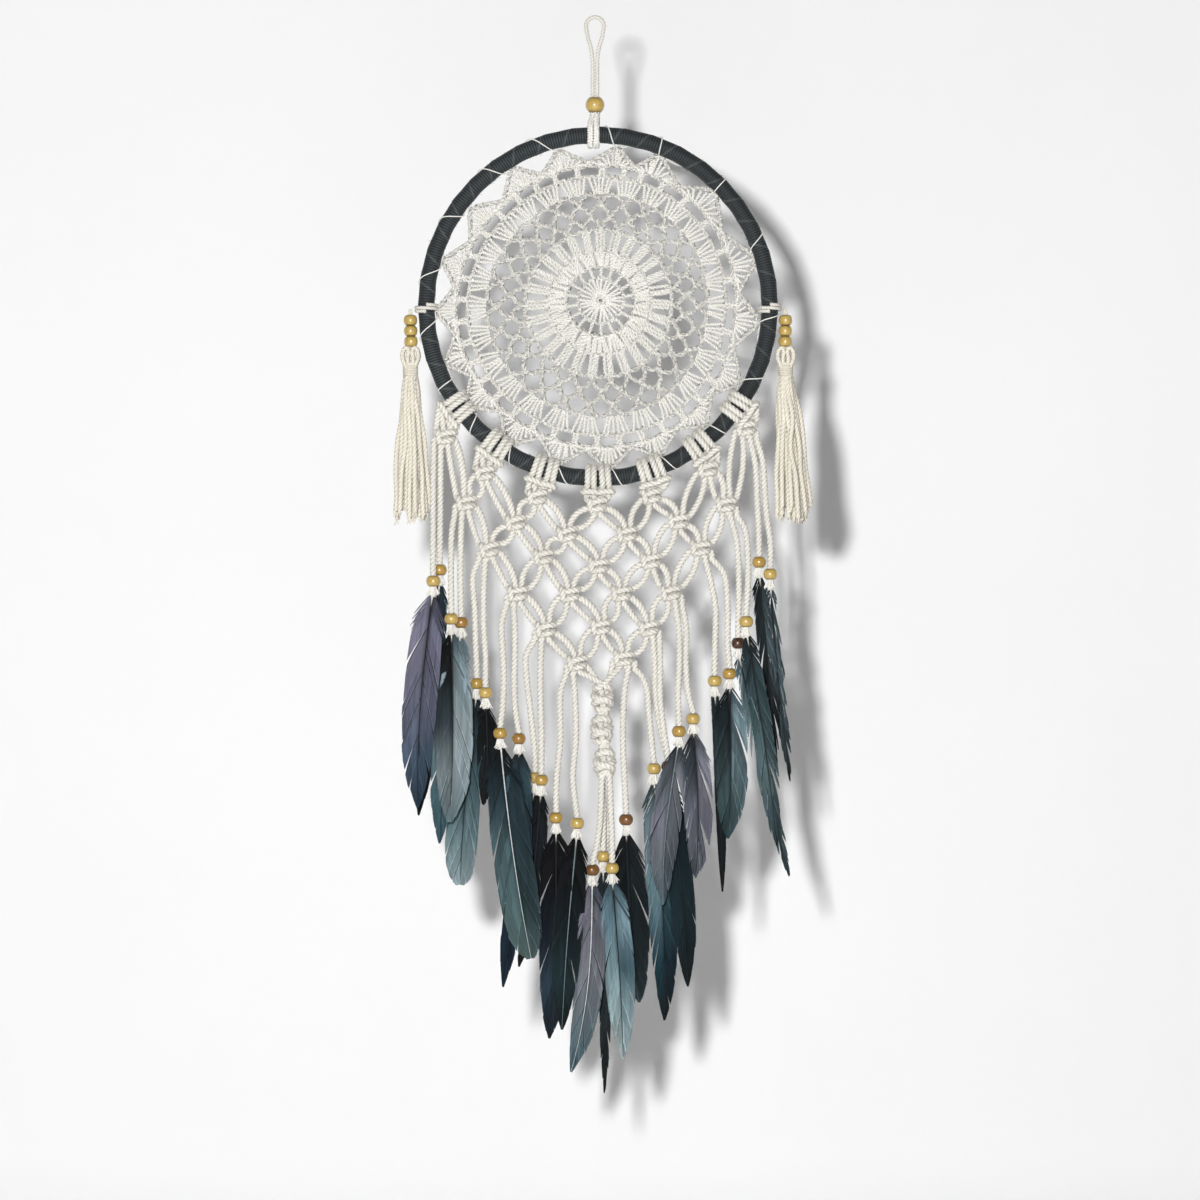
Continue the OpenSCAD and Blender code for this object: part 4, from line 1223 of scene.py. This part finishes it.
def shaft_line(start, tip, y, look):
    """Centreline of a feather from inside the tuft: the quill leans out to the feather's plane."""
    t = np.linspace(0, 1, 90)
    run = np.array([tip[0] - start[0], tip[1] - start[2]])
    across = np.array([-run[1], run[0]]) / np.linalg.norm(run)
    lean = np.clip(t / 0.16, 0, 1)
    lean = lean * lean * (3 - 2 * lean)
    side = look["bow"] * np.sin(np.pi * t) * (0.6 + 0.4 * t) + look["hook"] * t**2.5
    x = start[0] + run[0] * t + across[0] * side
    z = start[2] + run[1] * t + across[1] * side
    return t, np.stack([x, start[1] + (y - start[1]) * lean, z], axis=1)


def clumps(count, loose, rng):
    """For each barb, its clump's turn, lift, length share and tone, so that the vane splits."""
    turn, lift, share, tone = (np.empty(count) for _ in range(4))
    i = 0
    while i < count:
        n = int(rng.integers(8, 30 - int(14 * loose)))
        split = rng.uniform(-1, 1) * (2 + 9 * loose) if rng.uniform() < 0.14 + 0.5 * loose else 0
        fan = np.linspace(-1, 1, n)[: count - i] * (0.3 + 1.6 * loose)
        turn[i:i + n] = rng.normal(0, 0.3 + 1.6 * loose) + split + fan
        lift[i:i + n] = rng.normal(0, 0.06 + 0.3 * loose)
        share[i:i + n] = rng.uniform(0.97 - 0.22 * loose, 1.01)
        tone[i:i + n] = rng.uniform(0.2, 1)
        if rng.uniform() < 0.45:
            tone[i:i + 2] = -0.75
        i += n
    return turn, lift, share, tone


def barb_reach(v, angle, look, length):
    """How long each barb is, so that all of them end on the vane's outline."""
    edge = np.array(POINTED) * (1 - look["blunt"]) + np.array(ROUNDED) * look["blunt"]
    run = np.linspace(0.4, 50, 180)
    ends = v[:, None] + run * np.cos(angle)[:, None] / (length * (1 - VANE_FROM))
    outline = 0.5 * look["width"] * np.interp(ends, VANE_T, edge, right=0.0)
    return run[np.argmax(run * np.sin(angle)[:, None] >= outline, axis=1)]


def vane_side(shape, t_line, line, side, look, rng):
    """Barbs down one side of a shaft, each a closed thin blade that narrows to its end."""
    loose = look["loose"]
    length = lengths(line)[-1]
    count = int(length * (1 - VANE_FROM) / BARB_STEP)
    t = np.linspace(VANE_FROM, 0.985, count)
    foot = np.stack([np.interp(t, t_line, line[:, k]) for k in range(3)], axis=1)
    way = unit(np.stack([np.interp(t, t_line, np.gradient(line[:, k])) for k in range(3)], axis=1))
    out = unit(np.cross(way, (0, -1.0, 0))) * side
    v = (t - VANE_FROM) / (1 - VANE_FROM)
    turn, lift, share, tone = clumps(count, loose, rng)
    down = np.clip(1 - v / 0.1, 0, 1)
    lay = np.interp(v, [0, 0.08, 0.2, 0.6, 1], [34, 31, 25, 21, 12 + 13 * look["blunt"]])
    lay = lay * (1 - 0.35 * loose)
    angle = np.radians(lay + turn + down * rng.normal(0, 1.5 + 9 * loose, count))
    angle = np.clip(angle, 0.12, 1.2)
    uneven = rng.normal(0, 0.05 + 0.1 * loose, count)
    reach = barb_reach(v, angle, look, length) * share * (1 + down * uneven)
    w = np.linspace(0, 1, 7)
    bend = np.radians(7) + down * rng.normal(0, 0.1, count)
    turned_in = (angle - bend)[:, None]
    along = np.cos(angle)[:, None] * (w - 0.5 * w**2) + np.cos(turned_in) * 0.5 * w**2
    away = np.sin(angle)[:, None] * (w - 0.5 * w**2) + np.sin(turned_in) * 0.5 * w**2
    centre = (foot[:, None, :] + way[:, None, :] * (reach[:, None] * along)[..., None]
              + out[:, None, :] * (reach[:, None] * away)[..., None])
    roof = 0.16 * (reach[:, None] * away) * (1 if side > 0 else 0.55) * w
    centre[..., 1] += lift[:, None] * w + roof + down[:, None] * rng.normal(0, 0.6, count)[:, None] * w**2
    blade = np.interp(w, [0, 0.8, 1], [0.3, 0.36, 0.16])[None, :, None]
    flow = unit(np.gradient(centre, axis=1))
    flat = np.cross(flow, (0, 1.0, 0))
    thick = np.array([0, 1.0, 0]) * 0.07
    rings = np.stack([centre - flat * blade - thick, centre + thick * 1.5, centre + flat * blade - thick],
                     axis=2)
    # The colours are laid down the vane at the height that each part of a barb reaches
    height = v[:, None] + (reach[:, None] * along) / (length * (1 - VANE_FROM))
    colour = vane_colour(np.clip(height, 0, 1), look["colours"][0 if side > 0 else 1])
    colour = colour * (1 - 0.3 * np.exp(-w / 0.12))[None, :, None] * (0.74 + 0.44 * tone[:, None, None])
    shape.tubes(rings, np.broadcast_to(w * 10, (count, 7)), np.clip(tone, 0, 1), colour)


def feather(shape, bead, tip, y, look, rng):
    start = np.array(bead, float) + (HOOP[0], 0, -TUFT_L + 4.5)
    tip = (tip[0] + HOOP[0], tip[1] + 1.0)
    t, line = shaft_line(start, tip, y, look)
    shaft = np.interp(t, [0, 0.06, 0.5, 1], [0.56, 0.42, 0.28, 0.1])
    quill = hex_colours("dedace")[0]
    tint = quill + (look["shaft"] - quill) * np.clip((t - 0.03) / 0.05, 0, 1)[:, None]
    shape.tube(line + (0, -0.1, 0), shaft, 8, tone=0.2, tint=tint)
    for side in (-1, 1):
        vane_side(shape, t, line, side, look, rng)


def feathers():
    for name, (strands, plumes) in DROPS.items():
        rng = np.random.default_rng(40 + sum(map(ord, name)))
        shape = Shape()
        for (strand, x, z, y), look in zip(plumes, LOOKS[name], strict=True):
            feather(shape, strands[strand][-1], (x, z), y, look, rng)
        make_piece(shape, name + "_plumes", FEATHER, name, [name + "_feathers"])


feathers()
